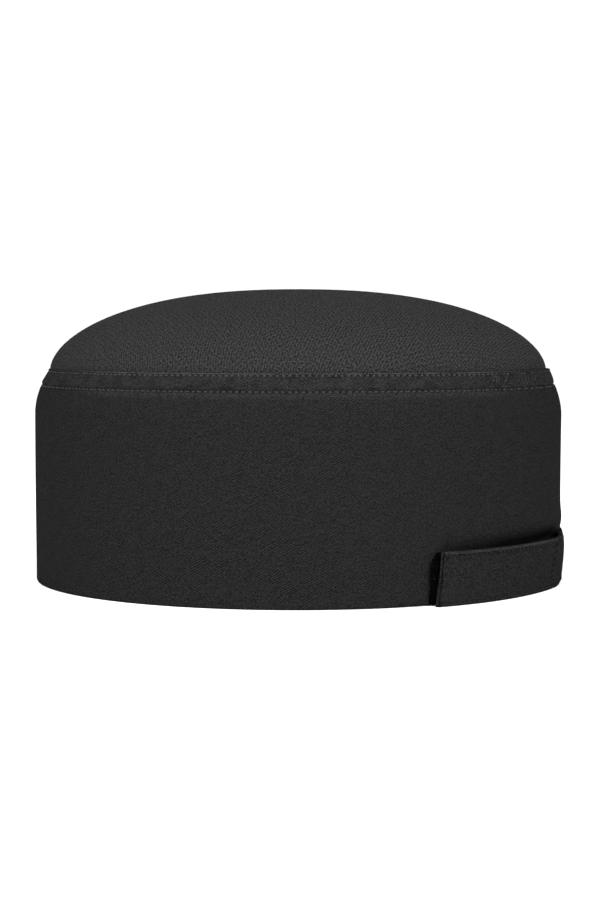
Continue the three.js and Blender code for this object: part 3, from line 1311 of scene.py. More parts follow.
@dataclass
class SeamStrip:
    """The narrow strip of twill between band and crown, folded at its top and topstitched.

    Attributes:
        form: The cap's form.
        finish: The strip's twill.
        thread: The thread of its row.
        row: The row of stitches under its fold.
        fold_height: The height of the fold's lit edge, where a highlight is painted.
        fold_highlight: How strong that painted highlight is.
        fold_reach: How far up and down from there the painted highlight reaches.
        pucker: How deep the strip puckers between its two seams.
        pucker_place: The height where the puckers are deepest, and their reach up and down.
        pucker_lean: How far they lean for each millimetre up, in degrees.
        lean_height: The height from which they lean.
        pull: How much deeper they are where the tab pulls the cap.
        pull_place: The middle and the reach of that place, in degrees.
        pucker_waves: The strip's puckers.
        end_rise: How much higher the fold runs at the front and back ends.
        rise_power: How closely that keeps to the two ends.
        rise_heights: Where the strip starts and ends to run higher.
        front_tuck: How much further in the strip lies at the front end.
        tuck_power: How closely that keeps to the front end.
        tuck_heights: Where it starts and ends to lie further in.
        lining_inset: The inset at which its inner side starts.
        deepest_inset: How far in its outer side lies at most.
        thread_tilt: How far the stitches face up.
    """

    form: CapForm
    finish: Material
    thread: Material
    row: SewnRow = SewnRow(76.6, sink=0.08, hole_depth=0.3, dent_reach=0.36, hole_shade=0.5, hole_reach=0.3)
    fold_height: float = 77.4
    fold_highlight: float = 0.9
    fold_reach: float = 0.35
    pucker: float = 0.27
    pucker_place: Pair = (73.8, 2.4)
    pucker_lean: float = 0.5
    lean_height: float = 73.6
    pull: float = 0.9
    pull_place: Pair = (35.0, 18.0)
    pucker_waves: Ripples = Ripples(30, 110, 10, 21)
    end_rise: float = 0.1
    rise_power: int = 4
    rise_heights: Pair = (72.5, 76.5)
    front_tuck: float = 1.0
    tuck_power: int = 6
    tuck_heights: Pair = (71.5, 75.5)
    lining_inset: float = 5.2
    deepest_inset: float = 5.4
    thread_tilt: float = 0.3

    def face(self) -> Array:
        """The section's outer side as rows of inset and height, from the valley up to the fold's top."""
        return np.array([
            (3.1, 71.2), (3.0, 71.6), (2.86, 72.0), (2.76, 72.4), (2.74, 72.9), (2.84, 73.4), (3.0, 74.0),
            (3.2, 74.6), (3.38, 75.2), (3.58, 75.8), (3.76, 76.3), (3.9, 76.55), (3.97, 76.75), (3.98, 76.95),
            (4.0, 77.1), (4.1, 77.3), (4.3, 77.45), (4.6, 77.5),
        ])

    def inside(self) -> Array:
        """The rest of the section: over the fold, down the inner side and back up behind the band."""
        return np.array([
            (4.9, 77.42), (5.12, 77.2), (5.25, 76.7), (5.3, 74.0), (5.3, 72.0), (5.4, 71.2), (5.4, 66.3),
            (5.2, 66.0), (4.5, 66.0), (4.3, 66.3), (4.3, 70.6),
        ])

    def relief(self, angle: Array, height: Array) -> Array:
        """How far the strip lies under its plain form.

        Args:
            angle: Degrees from the back seam.
            height: Height of the row.

        Returns:
            The depth for each angle and height.
        """
        pull = 1.0 + self.pull * bell(signed(angle), *self.pull_place)
        waves = self.pucker_waves.at(angle + self.pucker_lean * (height - self.lean_height))
        waves = waves * bell(height, *self.pucker_place)
        return self.pucker * pull * waves + self.row.dents(self.form, angle, height)

    def build(self) -> None:
        """Makes the strip and its row of stitches."""
        form = self.form
        outer = self.face()
        inset, height = (column[:, None] for column in np.concatenate([outer, self.inside()]).T)
        closed_angles = self.row.cloth_angles(form)
        angle = closed_angles[None, :-1]
        outside = np.arange(len(inset))[:, None] < len(outer)
        before_lining = inset < self.lining_inset
        depth = np.where(outside, self.relief(angle, height), 0.0)
        depth = depth + self.tucked_in(angle) * ease(height, *self.tuck_heights)
        lies = np.where(before_lining, np.minimum(inset + depth, self.deepest_inset), inset)
        points = form.ring(angle, height + self.rise(angle, height), lies)
        # Painted highlight along the fold's lit edge, on the long sides, and painted shade at the needle
        # holes
        fold = bell(height, self.fold_height, self.fold_reach) * form.sideways(angle)
        holes = self.row.holes(form, angle, height)
        marks = {PAINTED_SHADE: holes * outside, PAINTED_HIGHLIGHT: self.fold_highlight * fold * before_lining}
        mesh = ClothMesh("seam_strip_twill")
        mesh.add_swept(points, points[:, 0], -form.lengths(closed_angles), True, marks)
        finish_piece(mesh.build(), self.finish, Slot.STRIP_TWILL, "seam_strip")
        self.sew()

    def rise(self, angle: Array, height: Array) -> Array:
        """How much higher the strip runs at an angle, more towards its fold."""
        towards_ends = np.cos(np.radians(angle)) ** self.rise_power
        return self.end_rise * towards_ends * ease(height, *self.rise_heights)

    def tucked_in(self, angle: Array) -> Array:
        """How much further in the strip's fold lies at an angle."""
        return self.front_tuck * np.clip(-np.cos(np.radians(angle)), 0.0, 1.0) ** self.tuck_power

    def sew(self) -> None:
        """Makes the stitches under the strip's fold."""
        form = self.form
        angles, height = self.row.thread_places(form)
        outer = self.face()
        inset = np.interp(height, outer[:, 1], outer[:, 0]) + self.tucked_in(angles)
        path = form.ring(angles, height + self.rise(angles, height), inset + form.thread_sink(angles))
        out = unit(form.outward(angles) + np.array([0.0, 0.0, self.thread_tilt]))
        self.row.sew(("strip_stitches", self.thread, Slot.STRIP_TWILL), path, out)


@dataclass
class MeshCrown:
    """The domed crown of knitted mesh, with every hole in its place.

    The holes stand in a slanting lattice in the flat cloth, which is laid over the dome from its middle
    so that lengths along every line from the middle are true. Each hole is closed behind by a floor, so
    that it is a deep pit that lets no light through, and its floor is painted near black as painted shade.

    Attributes:
        form: The cap's form.
        finish: The knitted mesh.
        to_next: The step from a hole to the next one in its row.
        to_next_row: The step from a hole to its neighbour in the next row.
        hole_width: Across a hole.
        hole_height: Along a hole.
        hole_lean: How far a hole leans to the right, in degrees.
        lean_spread: How unevenly the holes lean, in degrees.
        hole_depth: How deep a hole's floor lies.
        hole_taper: The size of its floor, as a share of its rim.
        unevenness: How far knitting and heat-setting move a hole at most.
        width_range: The narrowest and the widest hole, as a share of the hole's width.
        height_range: The shortest and the longest hole, as a share of its height.
        hole_seed: The seed of the holes' places, sizes and leans.
        closing: The share of its size that a hole loses where the seam pulls the cloth tight.
        closing_start: The share of the way to the edge at which the holes start to close.
        closing_end: The share of the way at which they have closed that far.
        wall: The cloth's thickness.
        plumpness: How far the loops between the holes stand proud of the holes' edges.
        plump_range: How plump the flattest and the plumpest loop are, as a share of that.
        plump_seed: The seed of their plumpness.
        rim_drop: How far a hole's edge lies below the flattest cloth.
        rim_shade: How much of a hole's painted shade its edge has.
        lining_shade: How much of that painted shade the cloth's inner side has.
        tuck: How far the cloth runs down behind the strip.
        lattice_reach: Rows of holes each way for each millimetre of the crown's half length.
        profile_steps: Steps along the dome's section.
        table_radii: How many radii the dome is worked out for.
        table_steps: How many steps along each.
    """

    form: CapForm
    finish: Material
    to_next: Pair = (2.05, -0.57)
    to_next_row: Pair = (1.43, 1.0)
    hole_width: float = 0.56
    hole_height: float = 0.67
    hole_lean: float = 14.0
    lean_spread: float = 10.0
    hole_depth: float = 0.5
    hole_taper: float = 0.55
    unevenness: float = 0.3
    width_range: Pair = (0.6, 1.2)
    height_range: Pair = (0.6, 1.15)
    hole_seed: int = 32
    closing: float = 0.22
    closing_start: float = 0.7
    closing_end: float = 0.92
    wall: float = 0.7
    plumpness: float = 0.16
    plump_range: Pair = (0.6, 1.0)
    plump_seed: int = 31
    rim_drop: float = 0.03
    rim_shade: float = 0.3
    lining_shade: float = 0.2
    tuck: float = 3.5
    lattice_reach: float = 1.25
    profile_steps: int = 2000
    table_radii: int = 9
    table_steps: int = 400

    def profile(self) -> tuple[Array, Array]:
        """The dome's section: the share of the radius and the height over the base, from the middle out."""
        form = self.form
        turn = np.linspace(np.pi / 2, 0.0, self.profile_steps)
        share = np.abs(np.cos(turn)) ** (2 / form.dome_plan_power)
        share[0] = 0.0
        rise = (form.crown_top - form.strip_top) * np.sin(turn) ** (2 / form.dome_rise_power)
        return share, rise

    def table(self) -> tuple[Array, Array, Array, Array]:
        """The dome's sections over several radii of its base, at even steps along each.

        Returns:
            The radii, the length of each section, and at its steps the shares of the radius and the
            heights over the base.
        """
        share, rise = self.profile()
        radii = np.linspace(self.form.crown_half_width, self.form.crown_half_length, self.table_radii)
        steps = np.linspace(0.0, 1.0, self.table_steps)
        totals, shares, rises = [], [], []
        for radius in radii:
            run = lengths_along(np.column_stack([share * radius, rise]))
            totals.append(run[-1])
            shares.append(np.interp(steps * run[-1], run, share))
            rises.append(np.interp(steps * run[-1], run, rise))
        return radii, np.array(totals), np.array(shares), np.array(rises)

    def courses(self, flat: Array) -> tuple[Array, Array, Array]:
        """Which way points of the flat cloth lie from its middle.

        Args:
            flat: Points of the flat cloth, measured from its middle.

        Returns:
            How far each lies from the middle, the direction to it, and the base's radius that way.
        """
        half_sizes = np.array([self.form.crown_half_length, self.form.crown_half_width])
        least = 1e-9
        length = np.hypot(flat[:, 0], flat[:, 1])
        course = flat / np.maximum(length, least)[:, None]
        span = np.hypot(*(course / half_sizes).T)
        return length, course, 1.0 / np.maximum(span, least)

    def lay(self, flat: Array, sink: Array) -> Array:
        """Lays points of the flat cloth over the dome.

        Args:
            flat: Points of the flat cloth, measured from its middle.
            sink: How far each lies under the dome's outer face.

        Returns:
            The points in space.
        """
        form = self.form
        length, course, radius = self.courses(flat)
        radii, totals, shares, rises = self.table()
        total = np.interp(radius, radii, totals)
        way = np.clip(length / total, 0.0, 1.0) * (self.table_steps - 1)
        column = (radius - radii[0]) / (radii[1] - radii[0])
        low = np.clip(column.astype(int), 0, self.table_radii - 2)
        mix = column - low
        here = np.clip(way.astype(int), 0, self.table_steps - 2)
        part = way - here

        def read(grid: Array) -> Array:
            """Reads a table between its radii and its steps.

            Args:
                grid: The table.

            Returns:
                Its value for each point.
            """
            near = grid[low, here] * (1 - part) + grid[low, here + 1] * part
            far = grid[low + 1, here] * (1 - part) + grid[low + 1, here + 1] * part
            return near * (1 - mix) + far * mix

        share_here, rise_here = read(shares), read(rises)
        below = np.clip(length - total, 0.0, None)
        level = course * (share_here * radius)[:, None]
        points = np.column_stack([level, form.strip_top + rise_here - below])
        full_rise = form.crown_top - form.strip_top
        plan = np.maximum(share_here, 1e-6) ** (form.dome_plan_power - 2) * form.dome_plan_power
        slope = form.dome_rise_power * (rise_here / full_rise) ** (form.dome_rise_power - 1) / full_rise
        outward = plan[:, None] * level / np.array([form.crown_half_length, form.crown_half_width]) ** 2
        return points - unit(np.column_stack([outward, slope])) * sink[:, None]

    def cells(self) -> tuple[Array, Array, Array]:
        """The six-sided cells of cloth, one round each hole.

        Returns:
            The cells' middles, the points where three cells meet, and the numbers of the six such points
            round each cell, clockwise.
        """
        first, second = np.array(self.to_next), np.array(self.to_next_row)
        count = int(self.form.crown_half_length * self.lattice_reach)
        rows, columns = np.meshgrid(np.arange(-count, count), np.arange(-count, count), indexing="ij")
        rows, columns = rows.ravel(), columns.ravel()
        centres = rows[:, None] * first + columns[:, None] * second
        inside = np.hypot(centres[:, 0], centres[:, 1]) < self.edge_length(centres) + self.tuck
        rows, columns, centres = rows[inside], columns[inside], centres[inside]
        meeting = [(0, 0, 0), (1, 0, 0), (0, 0, -1), (1, -1, 0), (0, -1, 0), (1, -1, 1)]
        steps = ((first + second) / 3, (2 * first - second) / 3)
        keys, places = [], []
        for kind, row_step, column_step in meeting:
            row, column = rows + row_step, columns + column_step
            keys.append((kind * 4 * count + row + 2 * count) * 4 * count + column + 2 * count)
            places.append(row[:, None] * first + column[:, None] * second + steps[kind])
        keys, places = np.stack(keys, axis=1), np.stack(places, axis=1)
        _, index, corner = np.unique(keys.ravel(), return_index=True, return_inverse=True)
        return centres, places.reshape(-1, 2)[index], corner.reshape(keys.shape)

    def build(self) -> None:
        """Makes the crown in two halves of one cloth, with the same light across their join."""
        centres, meeting, corner = self.cells()
        sides = corner.shape[1]
        rims = self.hole_outlines(centres, meeting[corner])
        middles = rims.mean(axis=1, keepdims=True)
        floors = (middles + (rims - middles) * self.hole_taper).reshape(-1, 2)
        rims = rims.reshape(-1, 2)
        loops, edges = len(meeting), len(rims)
        chance = np.random.default_rng(self.plump_seed)
        swell = self.plumpness * chance.uniform(*self.plump_range, loops)
        flat = np.concatenate([meeting, rims, floors, meeting])
        sink = np.concatenate([
            self.plumpness - swell, np.full(edges, self.plumpness + self.rim_drop),
            np.full(edges, self.hole_depth), np.full(loops, self.wall),
        ])
        # Painted shade: near black on the hole floors, part of it on the hole edges and on the inner side
        pit_shade = np.concatenate([
            np.zeros(loops), np.full(edges, self.rim_shade),
            np.ones(edges), np.full(loops, self.lining_shade),
        ])
        rim = loops + np.arange(edges).reshape(-1, sides)
        floor, lining = rim + edges, corner + loops + 2 * edges
        step = np.roll(np.arange(sides), -1)
        floor_halves, lining_halves = [[0, 5, 4, 3], [0, 3, 2, 1]], [[0, 1, 2, 3], [0, 3, 4, 5]]
        kinds = (
            np.stack([rim, rim[:, step], corner[:, step], corner], axis=-1),
            np.stack([rim, floor, floor[:, step], rim[:, step]], axis=-1),
            floor[:, floor_halves],
            lining[:, lining_halves],
        )
        faces = np.concatenate([kind.reshape(-1, 4) for kind in kinds])
        points = self.lay(flat, sink)
        normals = self.light_directions(points, faces)
        to_front = centres[:, 0] < 0
        owner = np.concatenate([np.repeat(to_front, kind.shape[1]) for kind in kinds])
        for name, mine in (("crown_mesh_front", owner), ("crown_mesh_back", ~owner)):
            used, numbers = np.unique(faces[mine], return_inverse=True)
            numbers = numbers.reshape(-1, 4)
            mesh = ClothMesh(name)
            mesh.add(points[used], numbers, flat[used][numbers], {PAINTED_SHADE: pit_shade[used]})
            finish_piece(mesh.build(normals[used]), self.finish, Slot.MESH_KNIT, "mesh_crown")

    def edge_length(self, flat: Array) -> Array:
        """How far it is over the dome from its middle to its edge.

        Args:
            flat: Points of the flat cloth, which give the directions to look in.

        Returns:
            The length in each direction.
        """
        radii, totals, _, _ = self.table()
        return np.interp(self.courses(flat)[2], radii, totals)

    def hole_outlines(self, centres: Array, meeting: Array) -> Array:
        """The six corners of each hole in the flat cloth.

        Args:
            centres: The lattice's points.
            meeting: The six meeting points round each.

        Returns:
            Six points for each hole, each towards its meeting point.
        """
        chance = np.random.default_rng(self.hole_seed)
        moved = centres + chance.uniform(-self.unevenness, self.unevenness, centres.shape)
        way = np.hypot(centres[:, 0], centres[:, 1]) / self.edge_length(centres)
        size = (1.0 - self.closing * ease(way, self.closing_start, self.closing_end)) / 2
        width = self.hole_width * size * chance.uniform(*self.width_range, len(centres))
        height = self.hole_height * size * chance.uniform(*self.height_range, len(centres))
        lean = np.radians(-self.hole_lean + chance.normal(0.0, self.lean_spread, len(centres)))
        towards = meeting - centres[:, None]
        turn = np.arctan2(towards[..., 1], towards[..., 0]) - lean[:, None]
        stretch = 1.0 / np.hypot(np.cos(turn) / width[:, None], np.sin(turn) / height[:, None])
        course = np.stack([np.cos(turn + lean[:, None]), np.sin(turn + lean[:, None])], axis=-1)
        return moved[:, None] + course * stretch[..., None]

    @staticmethod
    def light_directions(points: Array, faces: Array) -> Array:
        """The smooth direction out of the cloth at each point.

        Args:
            points: All points of the crown.
            faces: All its faces.

        Returns:
            One direction for each point.
        """
        corners = points[faces]
        across = np.cross(corners[:, 2] - corners[:, 0], corners[:, 3] - corners[:, 1])
        normals = np.zeros_like(points)
        for place in range(4):
            np.add.at(normals, faces[:, place], across)
        return unit(normals)


@dataclass(frozen=True)
class TouchTape:
    """One of the two tapes under the tab.

    Attributes:
        name: The piece's name.
        finish: The tape's material.
        slot: The record's slot.
        node: The frame's node that it stands for.
        angles: Where it starts and ends, in degrees.
        heights: Its lower and upper edge.
        out: How far its back lies out of the band.
        thickness: How thick it is.
        nap: How uneven its face is, up and down.
        edge: How round its edges are.
        margin: From its edges to the first row of the face.
        rows: Rows of the mesh up the face.
        columns: Columns of the mesh along it.
        corner: How much its upper corner at the tip is rounded off, in degrees.
        corner_reach: How far down from there the rounding fades.
        end_shrink: How far the ends' section shrinks towards its middle, along each axis.
        seed: The seed of the face's unevenness.
    """

    name: str
    finish: Material
    slot: Slot
    node: str
    angles: Pair
    heights: Pair
    out: float
    thickness: float = 0.9
    nap: float = 0.12
    edge: float = 0.3
    margin: float = 0.8
    rows: int = 30
    columns: int = 300
    corner: float = 0.0
    corner_reach: float = 2.0
    end_shrink: Triple = (0.4, 0.4, 0.4)
    seed: int = 41


@dataclass
class AdjusterTab:
    """The adjuster tab: two layers of twill with a stitched edge, and its hook and loop tapes.

    Attributes:
        form: The cap's form.
        finish: The tab's twill.
        thread: The tab's thread.
        tapes: Its tapes.
        root: The angle at which the tab leaves the back seam.
        rise_start: The angle at which it starts to rise off the band.
        rise_end: The angle at which it lies fully on its tapes.
        tip_top: The angle of the tip's upper corner.
        tip_bottom: The angle of its lower corner.
        root_height: How high the tab is at its root.
        tip_height: How high it is at its tip.
        sewn_gap: The gap from the band to the tab's back at its root.
        stand_off: The same gap once the tab lies on its tapes.
        wall: The tab's thickness.
        lip: How far the rolled top edge stands proud.
        groove: How deep the rows of stitches sink into the cloth.
        top_margin: From the top edge to its row of stitches.
        low_margin: From the lower edge to its row.
        tip_margin: From the face's edge at the tip to its row.
        root_row: The angle of the row near the root.
        hole_shade: How dark the needle holes are painted, as painted shade.
        tip_row_reach: How far to both sides of the tip's row that darkness reaches.
        root_row_reach: The same for the row near the root, in degrees.
        rows_per_hole: Rows of the mesh for each hole of those two rows.
        back_showing: How far the back layer shows beyond the face at the tip.
        flat_angles: Where the face's relief starts and ends to come up from the root.
        root_out: How much further out the lower edge lies near the root.
        root_in: How much further in the upper edge lies near the root.
        root_bend: How sharply the tab bends in towards that edge.
        bend_angles: Where that bend starts and ends to fade.
        sewn_in: How far its end goes into the back seam.
        sewn_reach: How many degrees that end is long.
        edge_highlight: How strong the highlight painted on the rolled edge is.
        root_highlight: How much of that painted highlight it has near the root.
        highlight_angles: Where the painted highlight starts and ends to reach its full strength.
        highlight_drop: How far down from the top edge the painted highlight reaches.
        highlight_side: How far round the edge towards the tab's back it reaches.
        warp_waves: The depth, the turns round the cap and the slant of the cloth's soft waves.
        columns: Columns of the mesh along the tab.
        size_column: The column where the section is measured for the cloth coordinates.
        end_shrink: How far the ends' section shrinks towards its middle, along each axis.
        row_points: Points of the two long and of the two short rows' paths.
        stitch_pitch: From needle hole to needle hole.
        stitches: The stitches round the edge.
    """

    form: CapForm
    finish: Material
    thread: Material
    tapes: tuple[TouchTape, ...]
    root: float = -4.0
    rise_start: float = 11.0
    rise_end: float = 22.0
    tip_top: float = 61.4
    tip_bottom: float = 62.7
    root_height: float = 18.5
    tip_height: float = 18.4
    sewn_gap: float = 0.8
    stand_off: float = 2.7
    wall: float = 1.5
    lip: float = 0.6
    groove: float = 0.28
    top_margin: float = 1.45
    low_margin: float = 1.0
    tip_margin: float = 0.9
    root_row: float = 24.5
    hole_shade: float = 0.9
    tip_row_reach: float = 0.45
    root_row_reach: float = 0.8
    rows_per_hole: int = 3
    back_showing: float = 0.5
    flat_angles: Pair = (6.0, 22.0)
    root_out: float = 0.75
    root_in: float = 1.25
    root_bend: int = 5
    bend_angles: Pair = (12.0, 24.0)
    sewn_in: float = 2.1
    sewn_reach: float = 3.5
    edge_highlight: float = 0.32
    root_highlight: float = 0.4
    highlight_angles: Pair = (12.0, 30.0)
    highlight_drop: float = 1.0
    highlight_side: float = 0.2
    warp_waves: tuple[Triple, ...] = ((0.10, 9.0, 4.0), (0.06, 23.0, -3.0))
    columns: int = 180
    size_column: int = 5
    end_shrink: Triple = (0.55, 0.55, 0.97)
    row_points: tuple[int, int] = (60, 12)
    stitch_pitch: float = 2.1
    stitches: Stitches = Stitches(bare=0.9, radius=0.14, dive=0.18, crest=0.03)

    def top_height(self, angle: Array) -> Array:
        """The height of the tab's top edge at an angle."""
        share = np.clip((angle - self.root) / (self.tip_top - self.root), 0.0, 1.0)
        return self.root_height + (self.tip_height - self.root_height) * share

    def clearance(self, angle: Array) -> Array:
        """The gap from the band to the tab's back at an angle."""
        return self.sewn_gap + (self.stand_off - self.sewn_gap) * ease(angle, self.rise_start, self.rise_end)

    def place(self, angle: Array, up: Array, out: Array) -> Array:
        """Points of the tab.

        Args:
            angle: Degrees from the back seam.
            up: The height on the tab, from 0 at its lower edge.
            out: The distance out of the band's face.

        Returns:
            The points. The band's pull carries the tab in with it.
        """
        return self.form.ring(angle, up, self.form.cinch(angle, up) - out)

    def tip_angle(self, up: Array) -> Array:
        """The angle of the tip's slanting edge at a height on the tab."""
        return self.tip_bottom + (self.tip_top - self.tip_bottom) * np.clip(up / self.tip_height, 0.0, 1.0)

    def degrees(self, length: float) -> float:
        """How many degrees a short length along the tab's tip takes up."""
        here = self.form.lengths(np.array([self.tip_top - 1.0, self.tip_top]))[-1]
        return length / here

    def layer(self, section: Array, shorten: float) -> Array:
        """One layer of the tab as a swept section.

        Args:
            section: Rows of a share of the height, an offset in millimetres up, and the distance out of
                the tab's back.
            shorten: How many degrees the layer stops short of the tip.

        Returns:
            Rows and columns of points.
        """
        share, offset, out = (column[:, None] for column in section.T)
        end = self.tip_angle(share * self.tip_height + offset) - shorten
        angle = self.root + (end - self.root) * np.linspace(0.0, 1.0, self.columns)[None]
        up = share * self.top_height(angle) + offset
        flatten = np.clip(out - self.wall, 0.0, None) * (1.0 - ease(angle, *self.flat_angles))
        bent_in = (up / self.top_height(angle)) ** self.root_bend
        pressed_in = (self.root_out + self.root_in) * bent_in - self.root_out
        flatten = flatten + pressed_in * (1.0 - ease(angle, *self.bend_angles))
        flatten = flatten + self.sewn_in * (1.0 - ease(angle, self.root, self.root + self.sewn_reach))
        return self.place(angle, up, self.clearance(angle) + out - flatten + self.warp(angle, share))

    def warp(self, angle: Array, share: Array) -> Array:
        """Soft unevenness of the tab's cloth, in and out.

        Args:
            angle: Degrees from the back seam.
            share: The share of the tab's height.

        Returns:
            The distance out for each place.
        """
        turn = np.radians(angle)
        waves = sum(depth * np.sin(turn * count + slant * share) for depth, count, slant in self.warp_waves)
        return waves * np.sin(np.clip(share, 0.0, 1.0) * np.pi)

    def add_ended(self, mesh: ClothMesh, points: Array, shrink: Triple, marks: Marks | None = None) -> None:
        """Adds a section that was carried along the tab, and draws it together at its two ends.

        Args:
            mesh: The mesh that takes it.
            points: Rows of points round the section, and columns along the tab.
            shrink: How far the ends' section shrinks towards its middle, along each axis.
            marks: Rows and columns of values for each mark that the points have.
        """
        ends = []
        for column in (0, -1):
            middle = points[:, column].mean(axis=0)
            ends.append((middle + (points[:, column] - middle) * np.array(shrink))[:, None])
        full = np.concatenate([ends[0], points, ends[1]], axis=1)
        along = -lengths_along(full.mean(axis=0))
        one_more = ((0, 0), (1, 1))
        full_marks = {name: np.pad(values, one_more, mode="edge") for name, values in (marks or {}).items()}
        mesh.add_swept(full, points[:, self.size_column], along, False, full_marks)

    def face_section(self) -> Array:
        """The face layer: share of the height, offset up, and distance out of the tab's back."""
        half, full, lip = self.wall / 2 + 0.02, self.wall, self.lip
        low, top, sunk = self.low_margin, self.top_margin, self.wall - self.groove
        lower_edge = [
            (0.0, 0.25, half), (0.0, 0.02, half + 0.3), (0.0, 0.1, full - 0.12), (0.0, 0.35, full + 0.02),
        ]
        lower_row = [
            (0.0, low - 0.3, full + 0.02), (0.0, low, sunk), (0.0, low + 0.35, full),
            (0.0, low + 0.9, full + 0.03),
        ]
        middle = [(share, 0.0, full + 0.04) for share in np.linspace(0.18, 0.8, 16)]
        upper_row = [
            (1.0, -top - 0.6, full), (1.0, -top - 0.25, full - 0.12), (1.0, -top, sunk),
            (1.0, -top + 0.2, full - 0.05), (1.0, -top + 0.38, full + 0.6 * lip),
        ]
        rolled_edge = [
            (1.0, -0.85, full + lip), (1.0, -0.5, full + lip), (1.0, -0.18, full + 0.65 * lip),
            (1.0, 0.0, full - 0.05), (1.0, -0.02, full - 0.35), (1.0, -0.2, half),
        ]
        return np.array(lower_edge + lower_row + middle + upper_row + rolled_edge)

    def face_marks(self, section: Array, points: Array) -> Marks:
        """Where shade is painted at the face's needle holes, and a highlight on its rolled edge.

        Args:
            section: The face's section.
            points: Rows and columns of its points.

        Returns:
            Rows and columns of values for each mark.
        """
        share, offset, out = (column[:, None] for column in section.T)
        steps = np.linalg.norm(np.diff(points, axis=1, append=points[:, -1:]), axis=2)
        from_tip = np.cumsum(steps[:, ::-1], axis=1)[:, ::-1]
        angle = self.root + (self.tip_top - self.root) * np.linspace(0.0, 1.0, points.shape[1])[None]
        in_groove = np.isclose(out, self.wall - self.groove) & (angle > self.root_row)
        along = dots(from_tip / self.stitch_pitch, 2) * in_groove
        on_face = (out > self.wall) | np.isclose(out, self.wall)
        with_hole = (np.arange(len(section)) % self.rows_per_hole == 0)[:, None] & on_face
        across = bell(from_tip, self.tip_margin, self.tip_row_reach)
        across = (across + bell(angle, self.root_row, self.root_row_reach)) * with_hole
        # Painted highlight on the rolled top edge, and painted shade at the needle holes
        rolled = (share == 1.0) & (offset > -self.highlight_drop) & (out > self.wall - self.highlight_side)
        highlight_share = self.root_highlight + (1.0 - self.root_highlight) * ease(angle, *self.highlight_angles)
        hole_shaded = np.clip(along + across, 0.0, 1.0)
        return {PAINTED_SHADE: self.hole_shade * hole_shaded, PAINTED_HIGHLIGHT: self.edge_highlight * highlight_share * rolled}

    def back_section(self) -> Array:
        """The back layer: share of the height, offset up, and distance out of the tab's back."""
        half = self.wall / 2 - 0.04
        between = np.linspace(0.2, 0.8, 4)
        lower_edge = [
            (0.0, 0.3, 0.0), (0.0, 0.08, 0.12), (0.0, 0.0, half / 2), (0.0, 0.08, half - 0.1),
            (0.0, 0.3, half),
        ]
        upper_edge = [
            (1.0, -0.4, half), (1.0, -0.12, half - 0.1), (1.0, -0.02, half / 2), (1.0, -0.12, 0.12),
            (1.0, -0.4, 0.0),
        ]
        upwards = [(share, 0.0, half) for share in between]
        downwards = [(share, 0.0, 0.0) for share in between[::-1]]
        return np.array(lower_edge + upwards + upper_edge + downwards)

    def build(self) -> None:
        """Makes the tab, its thread and its tapes."""
        mesh = ClothMesh("tab_twill")
        shown = self.degrees(self.back_showing)
        face = self.face_section()
        points = self.layer(face, shown)
        self.add_ended(mesh, points, self.end_shrink, self.face_marks(face, points))
        self.add_ended(mesh, self.layer(self.back_section(), 0.0), self.end_shrink)
        finish_piece(mesh.build(), self.finish, Slot.TWILL, "adjuster_tab")
        self.sew(shown)
        for tape in self.tapes:
            self.lay_tape(tape)

    def sew(self, shown: float) -> None:
        """Makes the stitched rectangle.

        Args:
            shown: How many degrees the face stops short of the tip.
        """
        mesh = ClothMesh("tab_stitches")
        end = self.tip_angle(np.array([self.tip_height, 0.0])) - shown - self.degrees(self.tip_margin)
        long_points, short_points = self.row_points
        top_row = np.linspace(self.root_row, end[0], long_points)
        low_row = np.linspace(self.root_row, end[1], long_points)
        tip_row = np.linspace(end[0], end[1], short_points)
        root_row = np.full(short_points, self.root_row)
        share = np.linspace(0.0, 1.0, short_points)
        rows = [
            (top_row, self.top_height(top_row) - self.top_margin),
            (low_row, np.full_like(low_row, self.low_margin)),
            (tip_row, (self.top_height(tip_row) - self.top_margin) * (1 - share) + self.low_margin * share),
            (root_row, (self.top_height(root_row) - self.top_margin) * (1 - share) + self.low_margin * share),
        ]
        for angles, up in rows:
            path = self.place(angles, up, self.clearance(angles) + self.wall - self.groove / 2)
            count = max(2, round(lengths_along(path)[-1] / self.stitch_pitch))
            self.stitches.add_row(mesh, path, self.form.outward(angles), count)
        finish_piece(mesh.build(), self.thread, Slot.TWILL)

    def lay_tape(self, tape: TouchTape) -> None:
        """Makes one of the two tapes.

        Args:
            tape: The tape.
        """
        low, high = tape.heights
        edge, thick = tape.edge, tape.thickness
        rows = [(low + edge, 0.0), (low, edge), (low, thick - edge), (low + edge, thick)]
        rows += [(height, thick) for height in np.linspace(low + tape.margin, high - tape.margin, tape.rows)]
        rows += [(high - edge, thick), (high, thick - edge), (high, edge), (high - edge, 0.0)]
        up, depth = (np.array(column)[:, None] for column in zip(*rows))
        start, end = tape.angles
        trimmed = end - tape.corner * bell(up, high, tape.corner_reach)
        angle = start + (trimmed - start) * np.linspace(0.0, 1.0, tape.columns)[None]
        chance = np.random.default_rng(tape.seed)
        uneven = chance.uniform(-tape.nap, tape.nap, (len(up), angle.shape[1]))
        points = self.place(angle, up, tape.out + depth + np.where(depth >= thick, uneven, 0.0))
        mesh = ClothMesh(tape.name)
        self.add_ended(mesh, points, tape.end_shrink)
        finish_piece(mesh.build(), tape.finish, tape.slot, tape.node)


